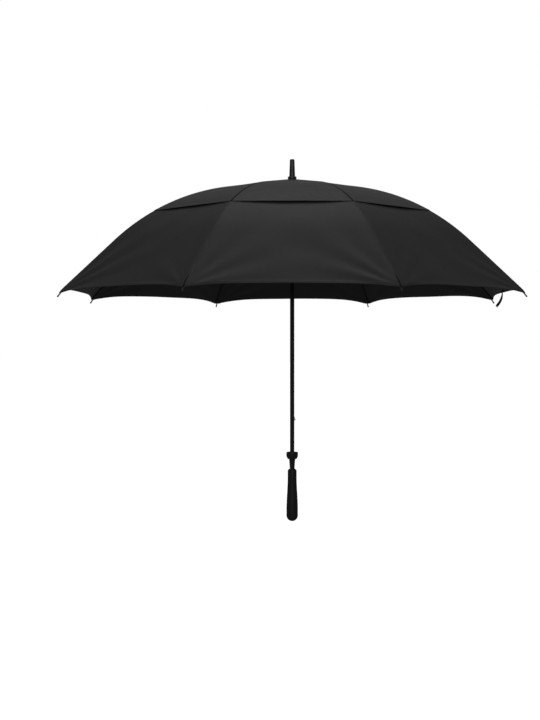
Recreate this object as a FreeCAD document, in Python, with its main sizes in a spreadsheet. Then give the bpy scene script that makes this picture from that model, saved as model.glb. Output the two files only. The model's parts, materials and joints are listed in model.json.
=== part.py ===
"""Vented double-canopy golf umbrella, open, as separate sub-parts.

The frame has its origin on the shaft's axis at the handle's bottom end, +Z up the shaft and +X along the first
rib. Every rib works in an upright plane through the axis, so one rib, one stretcher and one length of fabric are
drawn in the XZ plane and set round the axis by copies that turn with the spreadsheet's rib pitch.
"""

import FreeCAD
import Part
import Sketcher

import math
import os
import re

RIBS = 8
ARC_STEPS = 8
HALF_PITCH = "180 / rib_count"

SIZES = {
    # shaft: a thin tube from inside the grip to inside the ferrule
    "rib_count": RIBS,
    "shaft_radius": 6.0,
    "shaft_bore": 5.1,
    "shaft_foot": 28.0,
    "shaft_top": 984.0,
    # grip: round end, slow taper, waist and conical shoulder
    "grip_end_radius": 15.8,
    "grip_waist_radius": 12.35,
    "grip_swell": 44.0,
    "grip_waist_foot": 112.0,
    "grip_shoulder": 140.6,
    "grip_top": 145.0,
    "grip_top_radius": 8.2,
    "grip_socket": 27.0,
    # cup that holds the rib tips of the closed umbrella, on a ringed neck
    "cup_foot": 171.0,
    "cup_mouth": 190.8,
    "cup_radius": 16.1,
    "cup_wall": 1.5,
    "cup_floor": 179.0,
    "cup_round": 9.0,
    "cup_turn_in": 2.6,
    "cup_turn_up": 2.4,
    "neck_radius": 6.5,
    "neck_ring": 0.6,
    "neck_pitch": 6.0,
    "neck_foot": 145.2,
    # crown: ferrule above the fabric, washer, notched collar and the wire that the ribs turn on
    "ferrule_top": 1000.0,
    "ferrule_tip_radius": 6.5,
    "ferrule_round": 2.2,
    "ferrule_foot_radius": 8.0,
    "flange_top": 952.0,
    "flange_foot": 945.2,
    "flange_radius": 12.0,
    "washer_foot": 937.6,
    "washer_top": 940.6,
    "washer_radius": 11.0,
    "crown_pivot_r": 10.0,
    "crown_pivot_z": 923.0,
    "crown_core": 7.3,
    "crown_collar": 14.0,
    "crown_collar_half": 6.5,
    "notch_width": 2.8,
    "wire_half": 0.5,
    "wire_groove": 0.8,
    # runner: sleeve with a catch window, notched collar and its own wire
    "runner_pivot_r": 13.0,
    "runner_pivot_z": 698.2,
    "runner_bore": 6.3,
    "runner_core": 10.3,
    "runner_collar": 16.5,
    "runner_collar_half": 4.5,
    "runner_sleeve": 8.8,
    "runner_drop": 40.0,
    "runner_foot_radius": 10.6,
    "runner_foot_band": 7.0,
    "window_drop": 23.0,
    "window_half": 7.5,
    "window_width": 3.2,
    # catches: sprung noses in slots of the shaft, between the first two ribs
    "catch_nose": 9.8,
    "catch_rise": 13.0,
    "catch_width": 2.0,
    "catch_back": 2.6,
    "catch_pivot_r": 3.9,
    "catch_boss": 1.6,
    "catch_arm": 17.0,
    "catch_fall": 0.95,
    "catch_slot": 2.6,
    "catch_top_z": 682.5,
    "catch_low_z": 277.5,
    # line of the open canopy over a rib: straight, one long arc, straight
    "crown_height": 945.0,
    "slope_inner": 9.0,
    "slope_outer": 43.5,
    "arc_steps": ARC_STEPS,
    "arc_start": 187.0,
    "arc_radius": 590.0,
    # ribs, in two lengths that meet where the rod straightens when the canopy is closed
    "rod_radius": 1.75,
    "rod_inset": 2.7,
    "rod_start": 26.0,
    "eye_half": 2.4,
    "rib_eye_width": 2.0,
    "eye_hole": 0.95,
    "flex_slope": 22.5,
    "flex_gap": 0.4,
    "rod_run": 185.8,
    "tip_slope": 54.0,
    "tip_length": 26.0,
    "tip_radius": 2.15,
    "tip_end_radius": 1.45,
    # bracket under the rib, and the stretcher between it and the runner
    "bracket_slope": 19.8,
    "bracket_drop": 6.0,
    "bracket_length": 15.0,
    "bracket_depth": 3.0,
    "cheek_inside": 1.5,
    "cheek_outside": 2.7,
    "cheek_half": 2.6,
    "pin_radius": 1.0,
    "pin_play": 0.05,
    "stretcher_radius": 1.6,
    "stretcher_eye": 2.2,
    "stretcher_tongue": 8.0,
    # fabric: lower canopy under a vented cap, with a scalloped hem
    "fabric": 0.3,
    "vent_rise": 0.25,
    "seam_gap": 0.15,
    "vent_start": 6.6,
    "vent_hem_slope": 29.5,
    "canopy_start_slope": 22.9,
    "canopy_run": 199.0,
    "hem_run": 184.0,
    "hem_flat": 125.0,
    # closing strap at the hem between the first two ribs
    "strap_width": 18.0,
    "strap_thickness": 1.2,
    "strap_top_r": 579.5,
    "strap_top_z": 638.5,
    "strap_foot_r": 568.0,
    "strap_foot_z": 597.0,
    "strap_bow": 90.0,
    "stud_radius": 5.0,
    "stud_height": 1.6,
}


class Drawing:
    """The document, its sheet of sizes, and short ways to bind shapes to that sheet."""

    def __init__(self, name, sizes):
        self.doc = FreeCAD.newDocument(name)
        self.sheet = self.doc.addObject("Spreadsheet::Sheet", "dims")
        for row, (alias, value) in enumerate(sizes.items(), start=1):
            self.sheet.set(f"A{row}", alias)
            self.sheet.set(f"B{row}", str(value))
            self.sheet.setAlias(f"B{row}", alias)
        self.names = set(sizes)
        self.gauge = self.doc.addObject("App::FeaturePython", "gauge")
        self.gauge.addProperty("App::PropertyFloat", "Reading")
        self.doc.recompute()

    def formula(self, text):
        """An expression over the sheet's cells: each alias in the text gets the sheet's name."""
        words = re.sub(r"[a-z]\w*", lambda w: f"dims.{w[0]}" if w[0] in self.names else w[0], str(text))
        return words

    def size(self, text):
        """The value of an expression over the sheet, in millimetres or degrees."""
        self.gauge.setExpression("Reading", self.formula(text))
        self.gauge.recompute()
        return self.gauge.Reading

    def bind(self, thing, **properties):
        """Binds properties to the sheet; a double underscore stands for a dot, as in Placement__Base__z."""
        for name, text in properties.items():
            thing.setExpression(name.replace("__", "."), self.formula(text))

    def add(self, kind, name, **properties):
        thing = self.doc.addObject(kind, name)
        self.bind(thing, **properties)
        return thing

    def sketch(self, name, corners, arcs=None, body=None, plane="XZ_Plane", holes=()):
        """A closed outline. Corners are pairs of expressions, and arcs gives {edge: (radius, side)}.

        An edge runs from its corner to the next. Side is +1 where the arc bows to the left of that run, -1 to
        the right. Holes are circles as (x, y, radius).
        """
        make = body.newObject if body else self.doc.addObject
        sketch = make("Sketcher::SketchObject", name)
        if body:
            planes = {f.Role: f for f in body.Origin.OriginFeatures}
            sketch.AttachmentSupport = [(planes[plane], "")]
            sketch.MapMode = "FlatFace"
        elif plane == "XZ_Plane":
            sketch.Placement = FreeCAD.Placement(FreeCAD.Vector(), FreeCAD.Rotation(FreeCAD.Vector(1, 0, 0), 90))
        arcs = arcs or {}
        points = [FreeCAD.Vector(self.size(x), self.size(y), 0) for x, y in corners]
        for n, start in enumerate(points):
            end = points[(n + 1) % len(points)]
            if n in arcs:
                radius, side = arcs[n]
                sketch.addGeometry(arc_between(start, end, self.size(radius), side), False)
                index = sketch.addConstraint(Sketcher.Constraint("Radius", n, self.size(radius)))
                sketch.setExpression(f"Constraints[{index}]", self.formula(radius))
            else:
                sketch.addGeometry(Part.LineSegment(start, end), False)
        for n, corner in enumerate(corners):
            last = (n - 1) % len(corners)
            first = 2 if n in arcs and arcs[n][1] > 0 else 1
            end = 1 if last in arcs and arcs[last][1] > 0 else 2
            self.pin(sketch, n, first, corner)
            sketch.addConstraint(Sketcher.Constraint("Coincident", last, end, n, first))
        for x, y, radius in holes:
            centre = FreeCAD.Vector(self.size(x), self.size(y), 0)
            circle = Part.Circle(centre, FreeCAD.Vector(0, 0, 1), self.size(radius))
            n = sketch.addGeometry(circle, False)
            self.pin(sketch, n, 3, (x, y))
            index = sketch.addConstraint(Sketcher.Constraint("Radius", n, self.size(radius)))
            sketch.setExpression(f"Constraints[{index}]", self.formula(radius))
        return sketch

    def pin(self, sketch, edge, point, corner):
        """Holds a point at a corner whose two expressions are measured from the sketch's origin."""
        for kind, text in zip(("DistanceX", "DistanceY"), corner):
            index = sketch.addConstraint(Sketcher.Constraint(kind, -1, 1, edge, point, self.size(text)))
            sketch.setExpression(f"Constraints[{index}]", self.formula(text))

    def turned_body(self, label, corners, arcs=None):
        """A body made by revolving an outline in the XZ plane about the shaft's axis."""
        body = self.doc.addObject("PartDesign::Body", label)
        sketch = self.sketch(f"{label}_outline", corners, arcs, body)
        revolution = body.newObject("PartDesign::Revolution", f"{label}_revolution")
        revolution.Profile = sketch
        revolution.ReferenceAxis = (sketch, ["V_Axis"])
        revolution.Angle = 360
        body.Tip = revolution
        return body

    def notches(self, body, label, floor, width, foot, top, reach):
        """Cuts one straight notch per rib into a body, from a floor radius outwards."""
        notch = body.newObject("PartDesign::SubtractiveBox", f"{label}_notch")
        self.bind(notch, Length=f"{reach} - ({floor})", Width=width, Height=f"{top} - ({foot})")
        planes = {f.Role: f for f in body.Origin.OriginFeatures}
        notch.AttachmentSupport = [(planes["XY_Plane"], "")]
        notch.MapMode = "FlatFace"
        self.bind(
            notch,
            AttachmentOffset__Base__x=floor,
            AttachmentOffset__Base__y=f"-({width}) / 2",
            AttachmentOffset__Base__z=foot,
        )
        self.doc.recompute()
        pattern = body.newObject("PartDesign::PolarPattern", f"{label}_notches")
        pattern.Originals = [notch]
        pattern.Axis = (planes["Z_Axis"], [""])
        pattern.Angle = 360
        self.bind(pattern, Occurrences="rib_count")
        body.Tip = pattern
        return pattern

    def plate(self, name, sketch, thickness):
        """A sketch in the XZ plane, thickened evenly to both sides."""
        plate = self.doc.addObject("Part::Extrusion", name)
        plate.Base = sketch
        plate.DirMode = "Custom"
        plate.Dir = FreeCAD.Vector(0, 1, 0)
        plate.Solid = True
        plate.Symmetric = True
        self.bind(plate, LengthFwd=thickness)
        return plate

    def crossbar(self, name, x, z, radius, width, sides=0):
        """A bar along Y, centred on the XZ plane: round, or with this many flat sides."""
        if sides:
            bar = self.add("Part::Prism", name, Circumradius=radius, Height=width)
            bar.Polygon = sides
        else:
            bar = self.add("Part::Cylinder", name, Radius=radius, Height=width)
        bar.Placement.Rotation = FreeCAD.Rotation(FreeCAD.Vector(1, 0, 0), -90)
        self.bind(bar, Placement__Base__x=x, Placement__Base__y=f"-({width}) / 2", Placement__Base__z=z)
        return bar

    def fused(self, name, shapes):
        fuse = self.doc.addObject("Part::MultiFuse", name)
        fuse.Shapes = shapes
        return fuse

    def cut(self, name, base, tool):
        cut = self.doc.addObject("Part::Cut", name)
        cut.Base = base
        cut.Tool = tool
        return cut

    def common(self, name, base, tool):
        common = self.doc.addObject("Part::Common", name)
        common.Base = base
        common.Tool = tool
        return common

    def around(self, label, sources, number):
        """The sub-part of one rib: copies of what is drawn in the XZ plane, turned to that rib."""
        part = self.doc.addObject("Part::Compound", f"{label}_{number}")
        part.Links = sources
        part.Placement.Rotation = FreeCAD.Rotation(FreeCAD.Vector(0, 0, 1), 0)
        self.bind(part, Placement__Rotation__Angle=f"{number - 1} * 2 * {HALF_PITCH}")
        return part


def arc_between(start, end, radius, side):
    """The minor arc between two points, drawn anticlockwise; side +1 bows to the left of the run, -1 to the right."""
    chord = end - start
    bulge = radius - math.sqrt(radius**2 - (chord.Length / 2) ** 2)
    left = FreeCAD.Vector(-chord.y, chord.x, 0).normalize()
    middle = (start + end) / 2 + left * bulge * side
    ends = (end, start) if side > 0 else (start, end)
    return Part.Arc(ends[0], middle, ends[1])


def on_line(slope, inset, run="0"):
    """A point of the canopy's line: where the arc has this slope, inset below it, then a run along the tangent."""
    x = (
        f"(arc_start - arc_radius * sin(slope_inner) + (arc_radius - ({inset})) * sin({slope})"
        f" + ({run}) * cos({slope}))"
    )
    z = (
        f"(crown_height - arc_start * tan(slope_inner) - arc_radius * cos(slope_inner)"
        f" + (arc_radius - ({inset})) * cos({slope}) - ({run}) * sin({slope}))"
    )
    return x, z


def run_to(radius, inset):
    """The run along the inner straight that reaches this radius, negative because it lies before the arc."""
    return f"(({radius}) - arc_start + ({inset}) * sin(slope_inner)) / cos(slope_inner)"


def shifted(point, along, across, slope):
    """A point moved along the tangent at a slope and across it, outwards from the canopy."""
    x, z = point
    return (
        f"{x} + ({along}) * cos({slope}) + ({across}) * sin({slope})",
        f"{z} - ({along}) * sin({slope}) + ({across}) * cos({slope})",
    )


def shaft_tube(d):
    """Tube with a slot for each catch on the side between the first two ribs."""
    tube = d.add("Part::Cylinder", "tube", Radius="shaft_radius", Height="shaft_top - shaft_foot")
    bore = d.add("Part::Cylinder", "tube_bore", Radius="shaft_bore", Height="shaft_top - shaft_foot")
    for cylinder in (tube, bore):
        d.bind(cylinder, Placement__Base__z="shaft_foot")
    slots = []
    for name, foot, top in (
        ("top_slot", "catch_top_z - catch_arm - 2.2", "catch_top_z + 1.5"),
        ("low_slot", "catch_low_z - 1.5", "catch_low_z + catch_arm + 2.2"),
    ):
        slot = d.add("Part::Box", name, Length="shaft_radius * 2", Width="catch_slot", Height=f"{top} - ({foot})")
        slot.Placement.Rotation = FreeCAD.Rotation(FreeCAD.Vector(0, 0, 1), 0)
        d.bind(
            slot,
            Placement__Rotation__Angle=HALF_PITCH,
            Placement__Base__x=f"catch_slot / 2 * sin({HALF_PITCH})",
            Placement__Base__y=f"-catch_slot / 2 * cos({HALF_PITCH})",
            Placement__Base__z=foot,
        )
        slots.append(slot)
    return d.cut("shaft", tube, d.fused("shaft_hollow", [bore, *slots]))


def grip(d):
    """Straight handle: round bottom end, slow taper, straight waist and a conical shoulder, bored for the shaft."""
    corners = [
        ("0", "0"),
        ("grip_end_radius", "grip_end_radius"),
        ("grip_end_radius", "grip_swell"),
        ("grip_waist_radius", "grip_waist_foot"),
        ("grip_waist_radius", "grip_shoulder"),
        ("grip_top_radius", "grip_top"),
        ("shaft_radius + 0.05", "grip_top"),
        ("shaft_radius + 0.05", "grip_socket"),
        ("0", "grip_socket"),
    ]
    return d.turned_body("handle_grip", corners, {0: ("grip_end_radius", -1)})


def tip_cup(d):
    """Open cup with a rounded underside on a neck of three rings."""
    bore = "shaft_radius + 0.05"
    corners = [(bore, "neck_foot"), ("neck_radius", "neck_foot")]
    for ring in range(3):
        foot = f"neck_foot + 2 + {ring} * (neck_pitch + 1.6)"
        neck = f"neck_radius + {ring} * 0.4"
        corners += [
            (neck, foot),
            (f"{neck} + neck_ring", foot),
            (f"{neck} + neck_ring", f"{foot} + neck_pitch"),
            (f"{neck} + 0.4", f"{foot} + neck_pitch"),
        ]
    corners += [
        ("neck_radius + 1.2", "cup_foot"),
        ("cup_radius - cup_turn_in", "cup_foot + cup_turn_up"),
        ("cup_radius", "cup_foot + cup_round"),
        ("cup_radius", "cup_mouth"),
        ("cup_radius - cup_wall", "cup_mouth"),
        ("cup_radius - cup_wall", "cup_floor"),
        (bore, "cup_floor"),
    ]
    return d.turned_body("tip_cup", corners)


def ferrule(d):
    """Cap on the shaft's top end: rounded tip, tapered spike and a flange that presses on the fabric."""
    corners = [
        ("0", "ferrule_top"),
        ("0", "shaft_top + 0.2"),
        ("shaft_radius + 0.05", "shaft_top + 0.2"),
        ("shaft_radius + 0.05", "flange_foot"),
        ("flange_radius", "flange_foot"),
        ("flange_radius", "flange_top"),
        ("ferrule_foot_radius", "flange_top"),
        ("ferrule_tip_radius", "ferrule_top - ferrule_round"),
        ("ferrule_tip_radius - ferrule_round", "ferrule_top"),
    ]
    return d.turned_body("ferrule", corners)


def crown_washer(d):
    corners = [
        ("shaft_radius + 0.05", "washer_foot + 0.05"),
        ("washer_radius", "washer_foot + 0.05"),
        ("washer_radius", "washer_top"),
        ("shaft_radius + 0.05", "washer_top"),
    ]
    return d.turned_body("crown_washer", corners)


def crown_notch(d):
    """Collar under the crown with a notch for each rib's eye and a groove, open below, for the wire."""
    foot = "crown_pivot_z - crown_collar_half"
    top = "crown_pivot_z + crown_collar_half"
    corners = [
        ("shaft_radius + 0.05", f"{foot} - 4"),
        ("crown_core", f"{foot} - 4"),
        ("crown_core", foot),
        ("crown_pivot_r - wire_groove", foot),
        ("crown_pivot_r - wire_groove", "crown_pivot_z + wire_groove"),
        ("crown_pivot_r + wire_groove", "crown_pivot_z + wire_groove"),
        ("crown_pivot_r + wire_groove", foot),
        ("crown_collar", foot),
        ("crown_collar", top),
        ("crown_core + 1", top),
        ("crown_core + 1", "washer_foot"),
        ("shaft_radius + 0.05", "washer_foot"),
    ]
    body = d.turned_body("crown_notch", corners)
    d.notches(body, "crown", "crown_core", "notch_width", f"{foot} - 1", "washer_foot + 1", "crown_collar + 1")
    return body


def runner(d):
    """Sliding sleeve with a notched collar, a wire groove open at the top and a window for the catches."""
    foot = "runner_pivot_z - runner_collar_half"
    top = "runner_pivot_z + runner_collar_half"
    end = "runner_pivot_z - runner_drop"
    corners = [
        ("runner_bore", end),
        ("runner_foot_radius", end),
        ("runner_foot_radius", f"{end} + runner_foot_band"),
        ("runner_sleeve", f"{end} + runner_foot_band"),
        ("runner_sleeve", foot),
        ("runner_collar", foot),
        ("runner_collar", top),
        ("runner_pivot_r + wire_groove", top),
        ("runner_pivot_r + wire_groove", "runner_pivot_z - wire_groove"),
        ("runner_pivot_r - wire_groove", "runner_pivot_z - wire_groove"),
        ("runner_pivot_r - wire_groove", top),
        ("runner_bore", top),
    ]
    body = d.turned_body("runner_collar_body", corners)
    d.notches(body, "runner", "runner_core", "notch_width + 0.2", f"{foot} - 1", f"{top} + 1", "runner_collar + 1")
    window = d.add("Part::Box", "window", Length="runner_sleeve * 2", Width="window_width")
    window.Placement.Rotation = FreeCAD.Rotation(FreeCAD.Vector(0, 0, 1), 0)
    d.bind(
        window,
        Height="window_half * 2",
        Placement__Rotation__Angle=HALF_PITCH,
        Placement__Base__x=f"window_width / 2 * sin({HALF_PITCH})",
        Placement__Base__y=f"-window_width / 2 * cos({HALF_PITCH})",
        Placement__Base__z="runner_pivot_z - window_drop - window_half",
    )
    return d.cut("runner", body, window)


def wire_ring(d, label, radius, height):
    """Ring of stiff wire in straight lengths, one of them through each rib's notch and one between."""
    rims = []
    for name, reach in ((f"{label}_outside", f"{radius} + wire_half"), (f"{label}_inside", f"{radius} - wire_half")):
        rim = d.add("Part::Prism", name, Circumradius=f"({reach}) / cos({HALF_PITCH} / 2)", Height="wire_half * 2")
        rim.Polygon = RIBS * 2
        rim.Placement.Rotation = FreeCAD.Rotation(FreeCAD.Vector(0, 0, 1), 0)
        d.bind(rim, Placement__Base__z=f"{height} - wire_half", Placement__Rotation__Angle=f"{HALF_PITCH} / 2")
        rims.append(rim)
    return d.cut(label, *rims)


def catch(d, label, flat, way):
    """Sprung nose: a flat face that holds the runner, a ramp that lets it pass, and a round pivot boss.

    Flat is the flat face's height, and way is -1 where the ramp lies below it, +1 where it lies above.
    """
    boss = f"{flat} + ({way}) * catch_arm"
    low = f"{flat} + ({way}) * catch_rise"
    corners = [
        ("catch_back", flat),
        ("catch_pivot_r", flat),
        ("catch_nose - 0.6", f"{flat} + ({way}) * catch_fall"),
        ("catch_nose", f"{flat} + ({way}) * (catch_fall + 0.6)"),
        ("catch_nose", f"{flat} + ({way}) * (catch_fall + 1.8)"),
        ("shaft_radius - 0.3", low),
        ("shaft_radius - 0.5", boss),
        ("catch_back", boss),
    ]
    plate = d.plate(f"{label}_plate", d.sketch(f"{label}_outline", corners), "catch_width")
    boss_bar = d.crossbar(f"{label}_boss", "catch_pivot_r", boss, "catch_boss", "catch_width")
    part = d.doc.addObject("Part::Compound", label)
    part.Links = [d.fused(f"{label}_solid", [plate, boss_bar])]
    part.Placement.Rotation = FreeCAD.Rotation(FreeCAD.Vector(0, 0, 1), 0)
    d.bind(part, Placement__Rotation__Angle=HALF_PITCH)
    return part


def tongue(d, name, eye, end, width):
    """Flat plate from an eye to a square end; the eye's end is half an octagon. Eye and end are pairs of texts."""
    (x0, z0), (x1, z1) = eye, end
    long = f"sqrt((({x1}) - ({x0}))^2 + (({z1}) - ({z0}))^2)"
    half, facet = "eye_half", "eye_half * tan(22.5)"
    corners = []
    for along, across in (
        (long, half),
        (f"-({facet})", half),
        (f"-{half}", facet),
        (f"-{half}", f"-({facet})"),
        (f"-({facet})", f"-{half}"),
        (long, f"-{half}"),
    ):
        way_x, way_z = f"(({x1}) - ({x0})) / {long}", f"(({z1}) - ({z0})) / {long}"
        corners.append(
            (
                f"{x0} + ({along}) * {way_x} - ({across}) * {way_z}",
                f"{z0} + ({along}) * {way_z} + ({across}) * {way_x}",
            )
        )
    return d.plate(name, d.sketch(f"{name}_outline", corners), width)


def rod(d, name, start, end):
    """Eight-sided rod under the canopy's line between two (slope, run) ends, as straight runs and one long arc."""
    pieces = []
    for label, (slope, run) in (("inner", start), ("outer", end)):
        if run == "0":
            continue
        x, z = on_line(slope, "rod_inset", run)
        straight = d.add("Part::Prism", f"{name}_{label}_run", Circumradius="rod_radius / cos(22.5)")
        straight.Polygon = 8
        straight.Placement.Rotation = FreeCAD.Rotation(FreeCAD.Vector(0, 1, 0), 0)
        away = 1 if label == "inner" else -1
        d.bind(
            straight,
            Height=f"{-away} * ({run})",
            Placement__Base__x=x,
            Placement__Base__z=z,
            Placement__Rotation__Angle=f"90 + {slope}" if label == "inner" else f"{slope} - 90",
        )
        pieces.append(straight)
    ring = [
        (
            f"arc_radius - rod_inset + rod_radius / cos(22.5) * cos({angle})",
            f"rod_radius / cos(22.5) * sin({angle})",
        )
        for angle in range(0, 360, 45)
    ]
    bent = d.doc.addObject("Part::Revolution", f"{name}_bend")
    bent.Source = d.sketch(f"{name}_section", ring, plane="XY_Plane")
    bent.Axis = FreeCAD.Vector(0, 1, 0)
    bent.Solid = True
    centre_x, centre_z = on_line("0", "arc_radius")
    bent.Placement.Rotation = FreeCAD.Rotation(FreeCAD.Vector(0, 1, 0), 0)
    d.bind(
        bent,
        Angle=f"({end[0]}) - ({start[0]})",
        Placement__Base__x=centre_x,
        Placement__Base__z=centre_z,
        Placement__Rotation__Angle=f"({start[0]}) - 90",
    )
    return [*pieces, bent]


def rib(d):
    """Inner length of a rib: flat eye on the crown wire, rod, and forked bracket with its pin."""
    pivot = ("crown_pivot_r", "crown_pivot_z")
    run = run_to("rod_start", "rod_inset")
    root = on_line("slope_inner", "rod_inset + 0.8", run_to("rod_start + 6", "rod_inset"))
    plate = tongue(d, "rib_eye_plate", pivot, root, "rib_eye_width")
    hole = d.crossbar("rib_eye_hole", *pivot, "eye_hole / cos(22.5)", "rib_eye_width * 2", sides=8)
    stop = "flex_slope - flex_gap / (arc_radius - rod_inset) * 180 / pi"
    rods = rod(d, "rib", ("slope_inner", run), (stop, "0"))
    return d.fused("rib_solid", [d.cut("rib_eye", plate, hole), *rods, *bracket(d)])


def bracket(d):
    """Saddle under the rod with two cheeks and the pin that the stretcher turns on."""
    seat = on_line("bracket_slope", "rod_inset")
    half = "bracket_length / 2"
    foot = "bracket_drop + cheek_half"
    outline = [
        (f"-{half}", "0"),
        (f"2 - {half}", "-bracket_depth"),
        ("-cheek_half", "-bracket_depth"),
        ("-cheek_half", f"1.3 - ({foot})"),
        ("1.3 - cheek_half", f"-({foot})"),
        ("cheek_half - 1.3", f"-({foot})"),
        ("cheek_half", f"1.3 - ({foot})"),
        ("cheek_half", "-bracket_depth"),
        (f"{half} - 2", "-bracket_depth"),
        (half, "0"),
    ]
    slot = [
        ("-cheek_half - 1", "-bracket_depth - 0.3"),
        ("-cheek_half - 1", f"-({foot}) - 1"),
        ("cheek_half + 1", f"-({foot}) - 1"),
        ("cheek_half + 1", "-bracket_depth - 0.3"),
    ]
    block, gap = (
        d.plate(name, d.sketch(f"{name}_outline", [shifted(seat, *p, "bracket_slope") for p in points]), width)
        for name, points, width in (
            ("bracket_block", outline, "cheek_outside * 2"),
            ("bracket_slot", slot, "cheek_inside * 2"),
        )
    )
    pin = shifted(seat, "0", "-bracket_drop", "bracket_slope")
    return [d.cut("bracket_fork", block, gap), d.crossbar("bracket_pin", *pin, "pin_radius", "cheek_outside * 2")]


def outer_rod(d):
    """Outer length of a rib's rod, from just past the flex point to the tip cap."""
    start = "flex_slope + flex_gap / (arc_radius - rod_inset) * 180 / pi"
    return d.fused("rod_solid", rod(d, "rod", (start, "0"), ("slope_outer", "rod_run")))


def rib_tip(d):
    """Cap on the rib's end: a socket, a slim neck and a small knob, bent down from the rod's line."""
    foot_x, foot_z = on_line("slope_outer", "rod_inset", "rod_run + 1.1")
    steps = []
    for name, radius, start, end in (
        ("tip_socket", "tip_radius", "0", "7"),
        ("tip_neck", "tip_end_radius - 0.3", "6", "tip_length - 3"),
        ("tip_knob", "tip_end_radius", "tip_length - 4", "tip_length"),
    ):
        step = d.add("Part::Prism", name, Circumradius=f"{radius} / cos(22.5)", Height=f"{end} - ({start})")
        step.Polygon = 8
        step.Placement.Rotation = FreeCAD.Rotation(FreeCAD.Vector(0, 1, 0), 0)
        d.bind(
            step,
            Placement__Base__x=f"{foot_x} + ({start}) * cos(tip_slope)",
            Placement__Base__z=f"{foot_z} - ({start}) * sin(tip_slope)",
            Placement__Rotation__Angle="90 + tip_slope",
        )
        steps.append(step)
    return d.fused("tip_solid", steps)


def stretcher(d):
    """Round bar with a flat eye at each end, from the bracket's pin to the runner's wire."""
    seat = on_line("bracket_slope", "rod_inset")
    pin = shifted(seat, "0", "-bracket_drop", "bracket_slope")
    wire = ("runner_pivot_r", "runner_pivot_z")
    long = f"sqrt((({pin[0]}) - ({wire[0]}))^2 + (({pin[1]}) - ({wire[1]}))^2)"
    way_x = f"(({pin[0]}) - ({wire[0]})) / {long}"
    way_z = f"(({pin[1]}) - ({wire[1]})) / {long}"

    def along(point, run):
        return (f"{point[0]} + ({run}) * {way_x}", f"{point[1]} + ({run}) * {way_z}")

    root = "stretcher_tongue + 2"
    rib_end = d.cut(
        "stretcher_rib_end",
        tongue(d, "stretcher_rib_plate", pin, along(pin, f"-({root})"), "stretcher_eye"),
        d.crossbar("stretcher_pin_hole", *pin, "pin_radius + pin_play", "stretcher_eye * 2"),
    )
    runner_end = d.cut(
        "stretcher_runner_end",
        tongue(d, "stretcher_runner_plate", wire, along(wire, root), "stretcher_eye"),
        d.crossbar("stretcher_wire_hole", *wire, "(eye_hole + 0.2) / cos(22.5)", "stretcher_eye * 2", sides=8),
    )
    bar = d.add("Part::Prism", "stretcher_bar", Circumradius="stretcher_radius / cos(22.5)")
    bar.Polygon = 8
    bar.Placement.Rotation = FreeCAD.Rotation(FreeCAD.Vector(0, 1, 0), 0)
    start = along(wire, "stretcher_tongue")
    d.bind(
        bar,
        Height=f"{long} - 2 * stretcher_tongue",
        Placement__Base__x=start[0],
        Placement__Base__z=start[1],
        Placement__Rotation__Angle=f"90 deg - asin({way_z})",
    )
    return d.fused("stretcher_solid", [rib_end, bar, runner_end])


def half_panel(d, name, side, inset, first, last, run):
    """Half of a gore before trimming: the canopy's line over a rib, drawn out level towards the gore's middle.

    Side is +1 for the gore on the rib's left, seen from above with the crown behind, and -1 on its right. The
    line's arc is taken in chords from step first to step last, with a straight run added at one or both ends.
    """
    corners = []
    for depth, order in ((inset, 1), (f"({inset}) + fabric", -1)):
        slopes = [f"slope_inner + (slope_outer - slope_inner) * {k} / arc_steps" for k in range(first, last + 1)]
        row = [on_line(slope, depth) for slope in slopes]
        if first == 0:
            row.insert(0, on_line("slope_inner", depth, run_to("vent_start - 1", depth)))
        if run:
            row.append(on_line("slope_outer", depth, run))
        corners += row[::order]
    band = d.doc.addObject("Part::Extrusion", f"{name}_band")
    band.Base = d.sketch(f"{name}_line", corners)
    band.DirMode = "Custom"
    band.Dir = FreeCAD.Vector(0, side, 0)
    band.Solid = True
    reach = on_line("slope_outer", inset, run)[0] if run else on_line("slope_outer", inset)[0]
    d.bind(
        band,
        Dir__x=f"-sin({HALF_PITCH})",
        Dir__y=f"{side} * cos({HALF_PITCH})",
        LengthFwd=f"{reach} * tan({HALF_PITCH})",
    )
    return band


def plan_point(middle, across, side):
    """A point given by its distance out along the gore's middle and its distance from that middle to the rib."""
    return (
        f"({middle}) * cos({HALF_PITCH}) + ({across}) * sin({HALF_PITCH})",
        f"({side}) * (({middle}) * sin({HALF_PITCH}) - ({across}) * cos({HALF_PITCH}))",
    )


def trimmed_panel(d, name, side, band, near, far, flat=None):
    """One half panel cut to its plan: near and far are radii over the rib, flat is (middle radius, half width)."""
    gap = f"{side} * seam_gap"
    corners = [(near, gap), (far, gap)]
    arcs = {}
    if flat:
        middle, half = flat
        rise = f"(({far}) * cos({HALF_PITCH}) - ({middle}))"
        width = f"(({far}) * sin({HALF_PITCH}) - ({half}))"
        corners.append(plan_point(middle, half, side))
        corners.append(plan_point(middle, "seam_gap", side))
        arcs = {1: (f"({width}^2 + {rise}^2) / (2 * {rise})", side)}
    else:
        corners.append(plan_point(f"({far}) * cos({HALF_PITCH})", "seam_gap", side))
    corners.append(plan_point(f"({near}) * cos({HALF_PITCH})", "seam_gap", side))
    prism = d.doc.addObject("Part::Extrusion", f"{name}_prism")
    prism.Base = d.sketch(f"{name}_plan", corners, arcs, plane="XY_Plane")
    prism.DirMode = "Custom"
    prism.Dir = FreeCAD.Vector(0, 0, 1)
    prism.Solid = True
    d.bind(prism, LengthFwd="crown_height + 10")
    return d.common(name, band, prism)


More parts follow.
